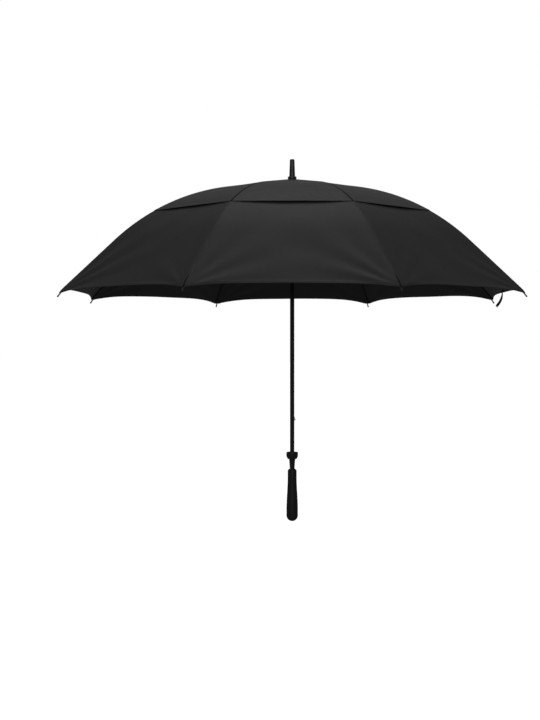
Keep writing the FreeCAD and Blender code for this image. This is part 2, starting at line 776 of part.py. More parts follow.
def canopy_halves(d):
    """Both halves of the lower canopy's fabric beside a rib."""
    near = on_line("canopy_start_slope", "0")[0]
    far = on_line("slope_outer", "0", "canopy_run")[0]
    middle = f"({on_line('slope_outer', '0', 'hem_run')[0]}) * cos({HALF_PITCH})"
    halves = []
    for word, side in (("left", 1), ("right", -1)):
        name = f"canopy_{word}"
        band = half_panel(d, name, side, "0", 3, ARC_STEPS, "canopy_run + 4")
        halves.append(trimmed_panel(d, name, side, band, near, far, (middle, "hem_flat")))
    return halves


def vent_halves(d):
    """Both halves of the cap's fabric beside a rib, from the crown to the open vent hem."""
    inset = "-vent_rise - fabric"
    far = on_line("vent_hem_slope", inset)[0]
    halves = []
    for word, side in (("left", 1), ("right", -1)):
        name = f"vent_{word}"
        band = half_panel(d, name, side, inset, 0, 5, None)
        halves.append(trimmed_panel(d, name, side, band, "vent_start", far))
    return halves


def strap(d):
    """Closing strap hanging inside the hem, with a pointed end and a press stud."""
    half = "strap_thickness / 2"
    corners = [
        (f"strap_top_r - {half}", "strap_top_z"),
        (f"strap_foot_r - {half}", "strap_foot_z"),
        (f"strap_foot_r + {half}", "strap_foot_z"),
        (f"strap_top_r + {half}", "strap_top_z"),
    ]
    arcs = {0: ("strap_bow", 1), 2: ("strap_bow + strap_thickness", -1)}
    band = d.plate("strap_band", d.sketch("strap_line", corners, arcs), "strap_width")
    stud = d.add("Part::Cylinder", "strap_stud", Radius="stud_radius", Height="stud_height")
    stud.Placement.Rotation = FreeCAD.Rotation(FreeCAD.Vector(0, 1, 0), 113)
    d.bind(stud, Placement__Base__x="strap_foot_r + 4.2", Placement__Base__z="strap_foot_z + 9.5")
    part = d.doc.addObject("Part::Compound", "canopy_strap")
    part.Links = [d.fused("strap_solid", [band, stud])]
    part.Placement.Rotation = FreeCAD.Rotation(FreeCAD.Vector(0, 0, 1), 0)
    d.bind(part, Placement__Rotation__Angle=HALF_PITCH)
    return part


def sub_parts(d):
    """Every sub-part, in the order stem, crown, runner, catches and then rib by rib."""
    parts = [
        shaft_tube(d),
        grip(d),
        tip_cup(d),
        ferrule(d),
        crown_washer(d),
        crown_notch(d),
        wire_ring(d, "crown_wire", "crown_pivot_r", "crown_pivot_z"),
        runner(d),
        wire_ring(d, "runner_wire", "runner_pivot_r", "runner_pivot_z"),
        catch(d, "top_catch", "catch_top_z", -1),
        catch(d, "bottom_catch", "catch_low_z", 1),
        strap(d),
    ]
    around_the_shaft = {
        "rib": [rib(d)],
        "rib_rod": [outer_rod(d)],
        "rib_tip": [rib_tip(d)],
        "stretcher": [stretcher(d)],
        "vent_panel": vent_halves(d),
        "canopy_panel": canopy_halves(d),
    }
    for number in range(1, RIBS + 1):
        parts += [d.around(label, sources, number) for label, sources in around_the_shaft.items()]
    return parts


def check(doc, parts):
    """Stops the build if any object failed or any sub-part isn't a valid shape of closed solids."""
    failed = [o.Name for o in doc.Objects if {"Invalid", "Error"} & set(o.State)]
    failed += [
        p.Label for p in parts if p.Shape.isNull() or not p.Shape.isValid() or not p.Shape.Solids
    ]
    if failed:
        raise RuntimeError(f"not built: {failed}")


def main():
    drawing = Drawing("golf_umbrella", SIZES)
    parts = sub_parts(drawing)
    drawing.doc.recompute()
    check(drawing.doc, parts)
    os.makedirs("parts", exist_ok=True)
    for part in parts:
        part.Shape.exportStep(f"parts/{part.Label}.step")
    print(f"{len(parts)} sub-parts, {sum(len(p.Shape.Solids) for p in parts)} solids")


if __name__ == "__main__":
    main()
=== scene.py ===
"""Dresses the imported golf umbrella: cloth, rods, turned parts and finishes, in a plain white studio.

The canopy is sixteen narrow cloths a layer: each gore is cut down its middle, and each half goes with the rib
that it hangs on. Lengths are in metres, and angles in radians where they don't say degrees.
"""

from __future__ import annotations

import json
import logging
import math
import random
from collections.abc import Sequence
from dataclasses import dataclass, field
from enum import Enum

import bpy
from mathutils import Matrix, Vector

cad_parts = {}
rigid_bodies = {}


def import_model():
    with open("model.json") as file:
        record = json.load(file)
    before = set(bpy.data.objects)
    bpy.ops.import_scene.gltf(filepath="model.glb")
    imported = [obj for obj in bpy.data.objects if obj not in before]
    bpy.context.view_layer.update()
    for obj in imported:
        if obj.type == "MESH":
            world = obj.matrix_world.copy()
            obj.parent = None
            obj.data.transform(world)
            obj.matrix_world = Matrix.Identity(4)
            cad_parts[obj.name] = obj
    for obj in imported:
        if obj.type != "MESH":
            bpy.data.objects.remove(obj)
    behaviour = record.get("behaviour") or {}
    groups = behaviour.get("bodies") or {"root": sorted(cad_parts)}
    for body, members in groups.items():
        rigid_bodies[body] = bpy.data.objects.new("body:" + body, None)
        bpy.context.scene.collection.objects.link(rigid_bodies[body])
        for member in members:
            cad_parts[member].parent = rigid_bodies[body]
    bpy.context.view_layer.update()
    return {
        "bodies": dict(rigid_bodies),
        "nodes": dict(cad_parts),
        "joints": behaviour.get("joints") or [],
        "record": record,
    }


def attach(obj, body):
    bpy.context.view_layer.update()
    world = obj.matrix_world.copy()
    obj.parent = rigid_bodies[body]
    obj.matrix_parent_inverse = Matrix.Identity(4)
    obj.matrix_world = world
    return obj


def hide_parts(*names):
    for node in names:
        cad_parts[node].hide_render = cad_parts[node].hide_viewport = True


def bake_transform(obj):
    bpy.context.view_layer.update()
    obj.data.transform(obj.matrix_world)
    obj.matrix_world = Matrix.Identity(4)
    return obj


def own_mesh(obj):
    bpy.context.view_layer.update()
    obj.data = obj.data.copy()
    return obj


LOG = logging.getLogger("umbrella")

Piece = bpy.types.Object
Socket = bpy.types.NodeSocket
Material = bpy.types.Material
Colour = tuple[float, float, float]
Outline = tuple[tuple[float, float], ...]

RIBS = 8
# The angle from rib to rib in degrees, and half of it in radians.
PITCH = 360.0 / RIBS
HALF_PITCH = math.radians(PITCH / 2)

# Corners nearer to each other than this are made one, in turned pieces and in copies of nodes.
MERGE = 0.00001
NODE_MERGE = 0.000002

# The largest angle between faces, in degrees, that is shaded round.
SHADE_PART = 35.0
SHADE_TURNED = 30.0
SHADE_CLOTH = 40.0
SHADE_ROD = 50.0


class Side(Enum):
    """The half of the cloth on a rib's left or right, seen from above with the crown behind."""

    LEFT = 1
    RIGHT = -1


class Graph:
    """A material's node tree with short ways to add nodes and join them."""

    def __init__(self, name: str) -> None:
        """Starts an empty node tree.

        Args:
            name: The material's name.
        """
        self.material = bpy.data.materials.new(name)
        self.material.use_nodes = True
        self.nodes = self.material.node_tree.nodes
        self.links = self.material.node_tree.links
        self.nodes.clear()
        self.output = self.nodes.new("ShaderNodeOutputMaterial")

    def feed(self, socket: Socket, value: object) -> None:
        """Joins an input to an output, or sets it.

        Args:
            socket: The input.
            value: The output, or the input's own value.
        """
        if isinstance(value, Socket):
            self.links.new(value, socket)
        else:
            socket.default_value = value

    def add(self, kind: str, **settings: object) -> bpy.types.Node:
        """Adds a node.

        Args:
            kind: The node's type, without its "ShaderNode" prefix.
            settings: Node properties by name, and input values by name with underscores for blanks.

        Returns:
            The new node.
        """
        node = self.nodes.new(f"ShaderNode{kind}")
        for key, value in settings.items():
            if hasattr(node, key):
                setattr(node, key, value)
            else:
                self.feed(node.inputs[key.replace("_", " ")], value)
        return node

    def math(self, operation: str, *values: object) -> Socket:
        """Adds a Math node.

        Args:
            operation: The Math node's operation.
            values: Numbers or sockets for its inputs, in order.

        Returns:
            The node's result.
        """
        node = self.add("Math", operation=operation)
        for socket, value in zip(node.inputs, values):
            self.feed(socket, value)
        return node.outputs[0]

    def mix(self, share: Socket, low: object, high: object) -> Socket:
        """Mixes two colours by a share.

        Args:
            share: Where 0 gives low and 1 gives high.
            low: A colour or a colour socket.
            high: A colour or a colour socket.

        Returns:
            The mixed colour.
        """
        node = self.add("Mix", data_type="RGBA")
        self.links.new(share, node.inputs["Factor"])
        for socket, value in zip(self.colours(node.inputs), (low, high)):
            self.feed(socket, value if isinstance(value, Socket) else (*value, 1.0))
        return self.colours(node.outputs)[0]

    @staticmethod
    def colours(sockets: Sequence[Socket]) -> list[Socket]:
        """A node's colour sockets, since a Mix node has sockets of other types by the same names."""
        return [socket for socket in sockets if socket.type == "RGBA"]

    def noise(
        self, scale: float, detail: float = 3.0, stretch: tuple[float, float, float] = (1.0, 1.0, 1.0)
    ) -> Socket:
        """Adds noise on object coordinates.

        Args:
            scale: Cells per metre.
            detail: Octaves.
            stretch: How much faster the noise runs along each axis.

        Returns:
            The noise, from 0 to 1.
        """
        place = self.add("TexCoord")
        mapping = self.add("Mapping", Vector=place.outputs["Object"], Scale=stretch)
        return self.add("TexNoise", Vector=mapping.outputs[0], Scale=scale, Detail=detail).outputs["Fac"]

    def bump(self, height: Socket, depth: float, below: Socket | None = None) -> Socket:
        """Adds a bump.

        Args:
            height: The height, from 0 to 1.
            depth: The depth in metres that a height of 1 stands for.
            below: A normal to build on.

        Returns:
            The new normal.
        """
        node = self.add("Bump", Height=height, Distance=depth)
        if below:
            self.links.new(below, node.inputs["Normal"])
        return node.outputs[0]

    def shade(self, **sockets: object) -> Material:
        """Closes the tree with a Principled shader.

        Args:
            sockets: The shader's inputs by name, with underscores for blanks.

        Returns:
            The finished material.
        """
        shader = self.add("BsdfPrincipled", **sockets)
        self.links.new(shader.outputs[0], self.output.inputs[0])
        return self.material


@dataclass(frozen=True)
class Finish:
    """A hard surface: one colour with slow shade changes, and a fine grain that can run along an axis."""

    name: str
    slot: str
    colour: Colour
    roughness: float
    grain: float = 1600.0
    grain_depth: float = 0.00002
    stretch: tuple[float, float, float] = (1.0, 1.0, 1.0)
    metallic: float = 0.0
    coat: float = 0.0
    coat_roughness: float = 0.12
    variation: float = 0.12
    variation_scale: float = 14.0
    scuffing: float = 0.16
    gloss: float = 0.35

    def material(self) -> Material:
        """Builds the material.

        Returns:
            The material, named after the finish.
        """
        graph = Graph(self.name)
        slow = graph.noise(self.variation_scale, detail=4.0)
        fine = graph.noise(self.grain, stretch=self.stretch)
        pale = tuple(min(1.0, c * (1.0 + self.variation)) for c in self.colour)
        deep = tuple(c * (1.0 - self.variation) for c in self.colour)
        return graph.shade(
            Base_Color=graph.mix(slow, deep, pale),
            Roughness=graph.math("MULTIPLY_ADD", fine, self.scuffing, self.roughness - self.scuffing / 2),
            Metallic=self.metallic,
            Specular_IOR_Level=self.gloss,
            Coat_Weight=self.coat,
            Coat_Roughness=self.coat_roughness,
            Normal=graph.bump(fine, self.grain_depth),
        )


@dataclass(frozen=True)
class Cloth:
    """Plain-woven polyester with a row of stitches on each side of the rib seam and one along the hem.

    A tone is a factor on the colour. The seam band's tone is painted light: above 1 a painted highlight along
    the seam, below 1 a painted shadow line. The pinch is a painted shadow: the dark wedge where a seam's foot
    draws the cloth in.
    """

    name: str
    slot: str
    colour: Colour
    thread: Colour = (0.05, 0.05, 0.052)
    roughness: float = 0.5
    roughness_range: float = 0.08
    gloss: float = 0.2
    sheen: float = 0.06
    sheen_roughness: float = 0.35
    shade_scale: float = 9.0
    pale_tone: float = 1.12
    deep_tone: float = 0.9
    yarn: float = 0.0006
    yarn_tone: float = 1.5
    yarn_share: float = 0.25
    yarn_depth: float = 0.00004
    drape_scale: float = 26.0
    drape_depth: float = 0.0006
    stitch: float = 0.0032
    stitch_share: float = 0.72
    stitch_depth: float = 0.0002
    thread_width: float = 0.0007
    # Painted light along the seam: above 1 a painted highlight, below 1 a painted shadow line.
    painted_seam_tone: float = 1.25
    seam_width: float = 0.0016
    seam_row: float = 0.0026
    hem_row: float = 0.0085
    pinch_width: float = 0.0035
    pinch_taper: float = 0.07
    # The tone of the painted shadow in the wedge at a seam's foot.
    pinch_shade_tone: float = 0.1
    seam_roughness: float = 0.6
    pinch_roughness: float = 0.95

    def row(self, graph: Graph, across: object, along: object, place: float) -> Socket:
        """One row of stitches.

        Args:
            graph: The material's tree.
            across: Distance from the edge that the row follows.
            along: Distance along that edge.
            place: The row's distance from the edge.

        Returns:
            1 on a stitch and 0 elsewhere.
        """
        near = graph.math("COMPARE", across, place, self.thread_width / 2)
        pace = graph.math("FRACT", graph.math("DIVIDE", along, self.stitch))
        return graph.math("MULTIPLY", near, graph.math("LESS_THAN", pace, self.stitch_share))

    def toned(self, tone: float) -> Colour:
        """The cloth's colour times a tone."""
        return tuple(c * tone for c in self.colour)

    def material(self) -> Material:
        """Builds the material.

        Returns:
            The material, which reads the pieces' own UV map: metres from the rib seam and from the hem.
        """
        graph = Graph(self.name)
        place = graph.add("SeparateXYZ", Vector=graph.add("UVMap", uv_map="cut").outputs[0])
        across, up = place.outputs[0], place.outputs[1]
        turn = math.tau / self.yarn
        warp = graph.math("SINE", graph.math("MULTIPLY", across, turn))
        weft = graph.math("SINE", graph.math("MULTIPLY", up, turn))
        weave = graph.math("MULTIPLY_ADD", graph.math("MULTIPLY", warp, weft), 0.5, 0.5)
        rows = graph.math(
            "MAXIMUM",
            self.row(graph, across, up, self.seam_row),
            self.row(graph, up, across, self.hem_row),
        )
        slow = graph.noise(self.shade_scale, detail=4.0)
        cloth = graph.mix(slow, self.toned(self.deep_tone), self.toned(self.pale_tone))
        woven = graph.mix(graph.math("MULTIPLY", weave, self.yarn_share), cloth, self.toned(self.yarn_tone))
        # The band along the rib seam takes painted light: a painted highlight where its tone is above 1 and a
        # painted shadow line where it is below 1.
        fold = graph.math("LESS_THAN", across, self.seam_width)
        seam_painted_light = graph.mix(fold, woven, self.toned(self.painted_seam_tone))
        # The wedge that narrows up from the hem along the seam is a painted shadow.
        wedge = graph.math("MULTIPLY_ADD", up, self.pinch_taper, across)
        pinch = graph.math("LESS_THAN", wedge, self.pinch_width)
        pinch_shaded = graph.mix(pinch, seam_painted_light, self.toned(self.pinch_shade_tone))
        least = self.roughness - self.roughness_range / 2
        uneven = graph.math("MULTIPLY_ADD", slow, self.roughness_range, least)
        dull = graph.math(
            "MAXIMUM",
            graph.math("MULTIPLY", fold, self.seam_roughness),
            graph.math("MULTIPLY", pinch, self.pinch_roughness),
        )
        drape = graph.bump(graph.noise(self.drape_scale, detail=2.0), self.drape_depth)
        fine = graph.bump(weave, self.yarn_depth, drape)
        return graph.shade(
            Base_Color=graph.mix(rows, pinch_shaded, self.thread),
            Roughness=graph.math("MAXIMUM", uneven, dull),
            Specular_IOR_Level=self.gloss,
            Sheen_Weight=self.sheen,
            Sheen_Roughness=self.sheen_roughness,
            Normal=graph.bump(rows, self.stitch_depth, fine),
        )


LACQUER = Finish(
    name="shaft_lacquer",
    slot="shaft_tube",
    colour=(0.0075, 0.0075, 0.0078),
    roughness=0.3,
    grain=900.0,
    grain_depth=0.000004,
    stretch=(1.0, 1.0, 0.1),
    coat=0.3,
)
SOFT_TOUCH = Finish(
    name="soft_grip",
    slot="grip",
    colour=(0.0105, 0.0105, 0.0107),
    roughness=0.52,
    grain=2600.0,
    grain_depth=0.00003,
    gloss=0.22,
)
CUP_PLASTIC = Finish(
    name="cup_moulding", slot="cup", colour=(0.0112, 0.0112, 0.0114), roughness=0.42, gloss=0.28
)
CAP_PLASTIC = Finish(name="cap_moulding", slot="ferrule", colour=(0.0155, 0.0155, 0.0158), roughness=0.42)
MOULDING = Finish(name="black_moulding", slot="moulding", colour=(0.011, 0.011, 0.0115), roughness=0.45)
WASHER = Finish(name="black_washer", slot="washer", colour=(0.012, 0.012, 0.012), roughness=0.5)
WIRE = Finish(
    name="bright_wire",
    slot="wire",
    colour=(0.5, 0.5, 0.49),
    roughness=0.32,
    grain_depth=0.000004,
    metallic=1.0,
)
CATCH = Finish(
    name="pressed_steel",
    slot="catch",
    colour=(0.82, 0.82, 0.8),
    roughness=0.34,
    grain=500.0,
    grain_depth=0.000006,
    stretch=(1.0, 1.0, 4.0),
    metallic=1.0,
)
ROD = Finish(
    name="fibre_rod",
    slot="rib",
    colour=(0.009, 0.009, 0.0095),
    roughness=0.4,
    grain=700.0,
    grain_depth=0.00001,
)
TIP = Finish(name="tip_moulding", slot="rib_tip", colour=(0.022, 0.022, 0.0225), roughness=0.38)
# The lower cloth keeps the lighter seam tone: a painted highlight along each rib seam.
CANOPY = Cloth(name="lower_weave", slot="cloth", colour=(0.0190, 0.0190, 0.0196))
# The vent's dark seam tone is a painted shadow line along each rib seam.
VENT = Cloth(
    name="vent_weave",
    slot="cloth",
    colour=(0.0190, 0.0190, 0.0196),
    sheen=0.1,
    painted_seam_tone=0.1,
    seam_width=0.003,
    seam_row=0.0045,
    seam_roughness=0.95,
)
# The webbing takes the same painted light along its edges: the seam band's painted highlight, and the pinch's
# painted shadow, which widens towards its foot.
WEBBING = Cloth(name="strap_webbing", slot="strap", colour=(0.02, 0.02, 0.0205), roughness=0.62, yarn=0.0011)


class Bench:
    """What every piece goes through: making, finishing, and going to its body."""

    def __init__(self, frame: dict) -> None:
        """Keeps the frame and a material for each finish.
        """
        self.nodes = frame["nodes"]
        self.materials: dict[str, Material] = {}

    def material(self, finish: Finish | Cloth) -> Material:
        """The finish's material, built once."""
        if finish.name not in self.materials:
            self.materials[finish.name] = finish.material()
        return self.materials[finish.name]

    @staticmethod
    def only(piece: Piece) -> None:
        """Makes a piece the one that operators act on."""
        bpy.ops.object.select_all(action="DESELECT")
        piece.select_set(True)
        bpy.context.view_layer.objects.active = piece

    def apply(self, piece: Piece, kind: str, **settings: object) -> None:
        """Adds a modifier and applies it.

        Args:
            piece: The piece.
            kind: The modifier's type.
            settings: The modifier's properties by name.
        """
        self.only(piece)
        modifier = piece.modifiers.new(kind.lower(), kind)
        for key, value in settings.items():
            setattr(modifier, key, value)
        bpy.ops.object.modifier_apply(modifier=modifier.name)

    def settle(self, piece: Piece, name: str, smooth: float = SHADE_PART) -> None:
        """Puts a piece's place into its mesh and smooths its shading.

        Args:
            piece: The piece.
            name: The piece's name.
            smooth: The largest angle between faces that is shaded round.
        """
        self.only(piece)
        bpy.ops.object.transform_apply(location=True, rotation=True, scale=True)
        bpy.ops.object.shade_smooth_by_angle(angle=math.radians(smooth))
        piece.name = name
        piece.data.name = name

    def place(self, piece: Piece, finish: Finish | Cloth, body: str, *nodes: str) -> Piece:
        """Gives a piece its finish, its body and the nodes that it stands for.

        Args:
            piece: The piece, at the origin with its place in its mesh.
            finish: Its finish.
            body: The body that it rides on; empty where it rides on none.
            nodes: The nodes that it stands for.

        Returns:
            The piece.
        """
        piece.data.materials.clear()
        piece.data.materials.append(self.material(finish))
        if body:
            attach(piece, body)
        if nodes:
            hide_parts(*nodes)
        LOG.info("%s: %d faces", piece.name, len(piece.data.polygons))
        return piece

    def woven(
        self,
        name: str,
        corners: Sequence[Sequence[float]],
        cuts: Sequence[tuple[float, float]],
        wide: int,
        turn: Matrix,
        flip: bool = False,
    ) -> Piece:
        """A sheet of cloth, still without thickness, with the UV map that Cloth's materials read.

        Args:
            name: The piece's name.
            corners: The mesh's corners, row by row.
            cuts: For each corner, its distance from the rib seam and from the hem.
            wide: How many corners a row has.
            turn: The turn that puts the sheet in its place.
            flip: Whether the faces look the other way.

        Returns:
            The piece.
        """
        faces = []
        for row in range(len(corners) // wide - 1):
            for first in range(row * wide, (row + 1) * wide - 1):
                quad = (first, first + wide, first + wide + 1, first + 1)
                faces.append(quad[::-1] if flip else quad)
        mesh = bpy.data.meshes.new(name)
        mesh.from_pydata(corners, [], faces)
        cut = mesh.uv_layers.new(name="cut")
        for loop in mesh.loops:
            cut.data[loop.index].uv = cuts[loop.vertex_index]
        mesh.transform(turn)
        piece = bpy.data.objects.new(name, mesh)
        bpy.context.scene.collection.objects.link(piece)
        return piece

    def smooth_copy(
        self, node: str, name: str, finish: Finish, body: str, smooth: float = SHADE_PART
    ) -> Piece:
        """A merged and smoothly shaded copy of a node, which it stands for.

        Args:
            node: The node.
            name: The piece's name.
            finish: Its finish.
            body: The body that it rides on.
            smooth: The largest angle between faces that is shaded round.

        Returns:
            The piece.
        """
        mesh = self.nodes[node].data.copy()
        piece = bpy.data.objects.new(name, mesh)
        bpy.context.scene.collection.objects.link(piece)
        self.only(piece)
        mesh.materials.clear()
        bpy.ops.object.mode_set(mode="EDIT")
        bpy.ops.mesh.select_all(action="SELECT")
        bpy.ops.mesh.remove_doubles(threshold=NODE_MERGE)
        bpy.ops.object.mode_set(mode="OBJECT")
        if mesh.has_custom_normals:
            bpy.ops.mesh.customdata_custom_splitnormals_clear()
        self.settle(piece, name, smooth)
        return self.place(piece, finish, body, node)

    def turned(self, name: str, stations: Sequence[tuple[float, float]], sides: int) -> Piece:
        """A piece turned about the shaft's axis: a ring of edges drawn up through its stations.

        Args:
            name: The piece's name.
            stations: The radius and height of each, from one end to the other. Ends that are the same are
                merged, and open ends are closed by a face.
            sides: How many sides the ring has.

        Returns:
            The piece, closed.
        """
        radius, height = stations[0]
        bpy.ops.object.select_all(action="DESELECT")
        bpy.ops.mesh.primitive_circle_add(vertices=sides, radius=radius, location=(0, 0, height))
        piece = bpy.context.object
        bpy.ops.object.transform_apply(location=True)
        bpy.ops.object.mode_set(mode="EDIT")
        bpy.ops.mesh.select_all(action="SELECT")
        for next_radius, next_height in stations[1:]:
            bpy.ops.mesh.extrude_region_move(TRANSFORM_OT_translate={"value": (0, 0, next_height - height)})
            ratio = next_radius / radius
            bpy.ops.transform.resize(value=(ratio, ratio, 1), center_override=(0, 0, next_height))
            radius, height = next_radius, next_height
        bpy.ops.mesh.select_all(action="SELECT")
        bpy.ops.mesh.remove_doubles(threshold=MERGE)
        bpy.ops.mesh.select_all(action="DESELECT")
        bpy.ops.mesh.select_non_manifold(extend=False, use_boundary=True)
        if self.open_edges(piece):
            bpy.ops.mesh.edge_face_add()
        bpy.ops.mesh.select_all(action="SELECT")
        bpy.ops.mesh.normals_make_consistent(inside=False)
        bpy.ops.object.mode_set(mode="OBJECT")
        piece.name = name
        return piece

    @staticmethod
    def open_edges(piece: Piece) -> bool:
        """Whether a piece in edit mode has selected edges."""
        piece.update_from_editmode()
        return any(edge.select for edge in piece.data.edges)


def around(number: int) -> Matrix:
    """The turn from the first rib's upright plane to a rib's own."""
    return Matrix.Rotation(math.radians(PITCH * (number - 1)), 4, "Z")


def ease(value: float) -> float:
    """A smooth step from 0 to 1 over the same range."""
    held = min(1.0, max(0.0, value))
    return held * held * (3.0 - 2.0 * held)


def bowl(
    inner: float, outer: float, foot: float, height: float, steps: int, first: float = 0.0
) -> list[tuple[float, float]]:
    """Stations of a quarter ellipse that opens upwards, as under a cup.

    Args:
        inner: The radius at its foot.
        outer: The radius at its top.
        foot: Its lowest height.
        height: How far it rises.
        steps: How many steps it has.
        first: The angle that it starts at, in degrees.

    Returns:
        The radius and height of each station.
    """
    angles = (math.radians(first + (90 - first) * k / steps) for k in range(steps + 1))
    return [(inner + (outer - inner) * math.sin(a), foot + height * (1.0 - math.cos(a))) for a in angles]


def shoulder(radius: float, top: float, rounding: float, steps: int) -> list[tuple[float, float]]:
    """Stations of a rounded upper edge.

    Args:
        radius: The radius below the edge.
        top: The height above it.
        rounding: The edge's own radius.
        steps: How many steps it has.

    Returns:
        The radius and height of each station.
    """
    angles = (math.radians(90 * k / steps) for k in range(steps + 1))
    return [(radius - rounding * (1.0 - math.cos(a)), top - rounding * (1.0 - math.sin(a))) for a in angles]


@dataclass(frozen=True)
class CanopyLine:
    """The canopy's line over a rib: straight, one long arc, straight, and a short arc down at the rim.

    A run is a length along the line from the crown.
    """

    crown: float = 0.945
    inner_slope: float = math.radians(9.0)
    outer_slope: float = math.radians(43.5)
    arc_start: float = 0.187
    arc_radius: float = 0.590
    rim_start: float = 0.183
    rim_radius: float = 0.075

    @property
    def first(self) -> float:
        """The run at which the arc starts."""
        return self.arc_start / math.cos(self.inner_slope)

    @property
    def last(self) -> float:
        """The run at which the arc ends."""
        return self.first + self.arc_radius * (self.outer_slope - self.inner_slope)

    def slope(self, run: float) -> float:
        """How steeply the line falls at a run, in radians."""
        arc = (min(max(run, self.first), self.last) - self.first) / self.arc_radius
        return self.inner_slope + arc + max(0.0, run - self.last - self.rim_start) / self.rim_radius

    def at_slope(self, slope: float) -> float:
        """The run at which the arc has this slope, in radians."""
        return self.first + self.arc_radius * (slope - self.inner_slope)

    def point(self, run: float, lift: float = 0.0) -> Vector:
        """A point of the line in the first rib's upright plane.

        Args:
            run: The length along the line from the crown.
            lift: The distance outwards from the line.

        Returns:
            The point, with y at 0.
        """
        slope = self.slope(run)
        bend = min(slope, self.outer_slope)
        before = min(run, self.first)
        after = min(max(0.0, run - self.last), self.rim_start)
        x = before * math.cos(self.inner_slope) + after * math.cos(self.outer_slope)
        z = self.crown - before * math.sin(self.inner_slope) - after * math.sin(self.outer_slope)
        x += self.arc_radius * (math.sin(bend) - math.sin(self.inner_slope))
        z -= self.arc_radius * (math.cos(self.inner_slope) - math.cos(bend))
        x += self.rim_radius * (math.sin(slope) - math.sin(bend))
        z -= self.rim_radius * (math.cos(bend) - math.cos(slope))
        return Vector((x + lift * math.sin(slope), 0.0, z + lift * math.cos(slope)))


@dataclass(frozen=True)
class Layer:
    """One of the canopy's two layers of cloth, as runs along the line and distances from it.

    flap and tuck hold how the cloth on a rib's left and right was to lie when gathered: its angle from
    straight outwards, in degrees, and the share of its width that is left, the left half the flatter so that
    the cloth wraps one way round. Nothing reads them.
    """

    name: str
    node: str
    body: str
    start: float
    hem: float
    hem_middle: float
    lift: float
    sag: float
    pout: float
    crease: float
    flap: tuple[float, float]
    tuck: tuple[float, float]
    rows: int
    columns: int = 30
    thickness: float = 0.0003
    cape: float = 0.0
    finish: Cloth = CANOPY


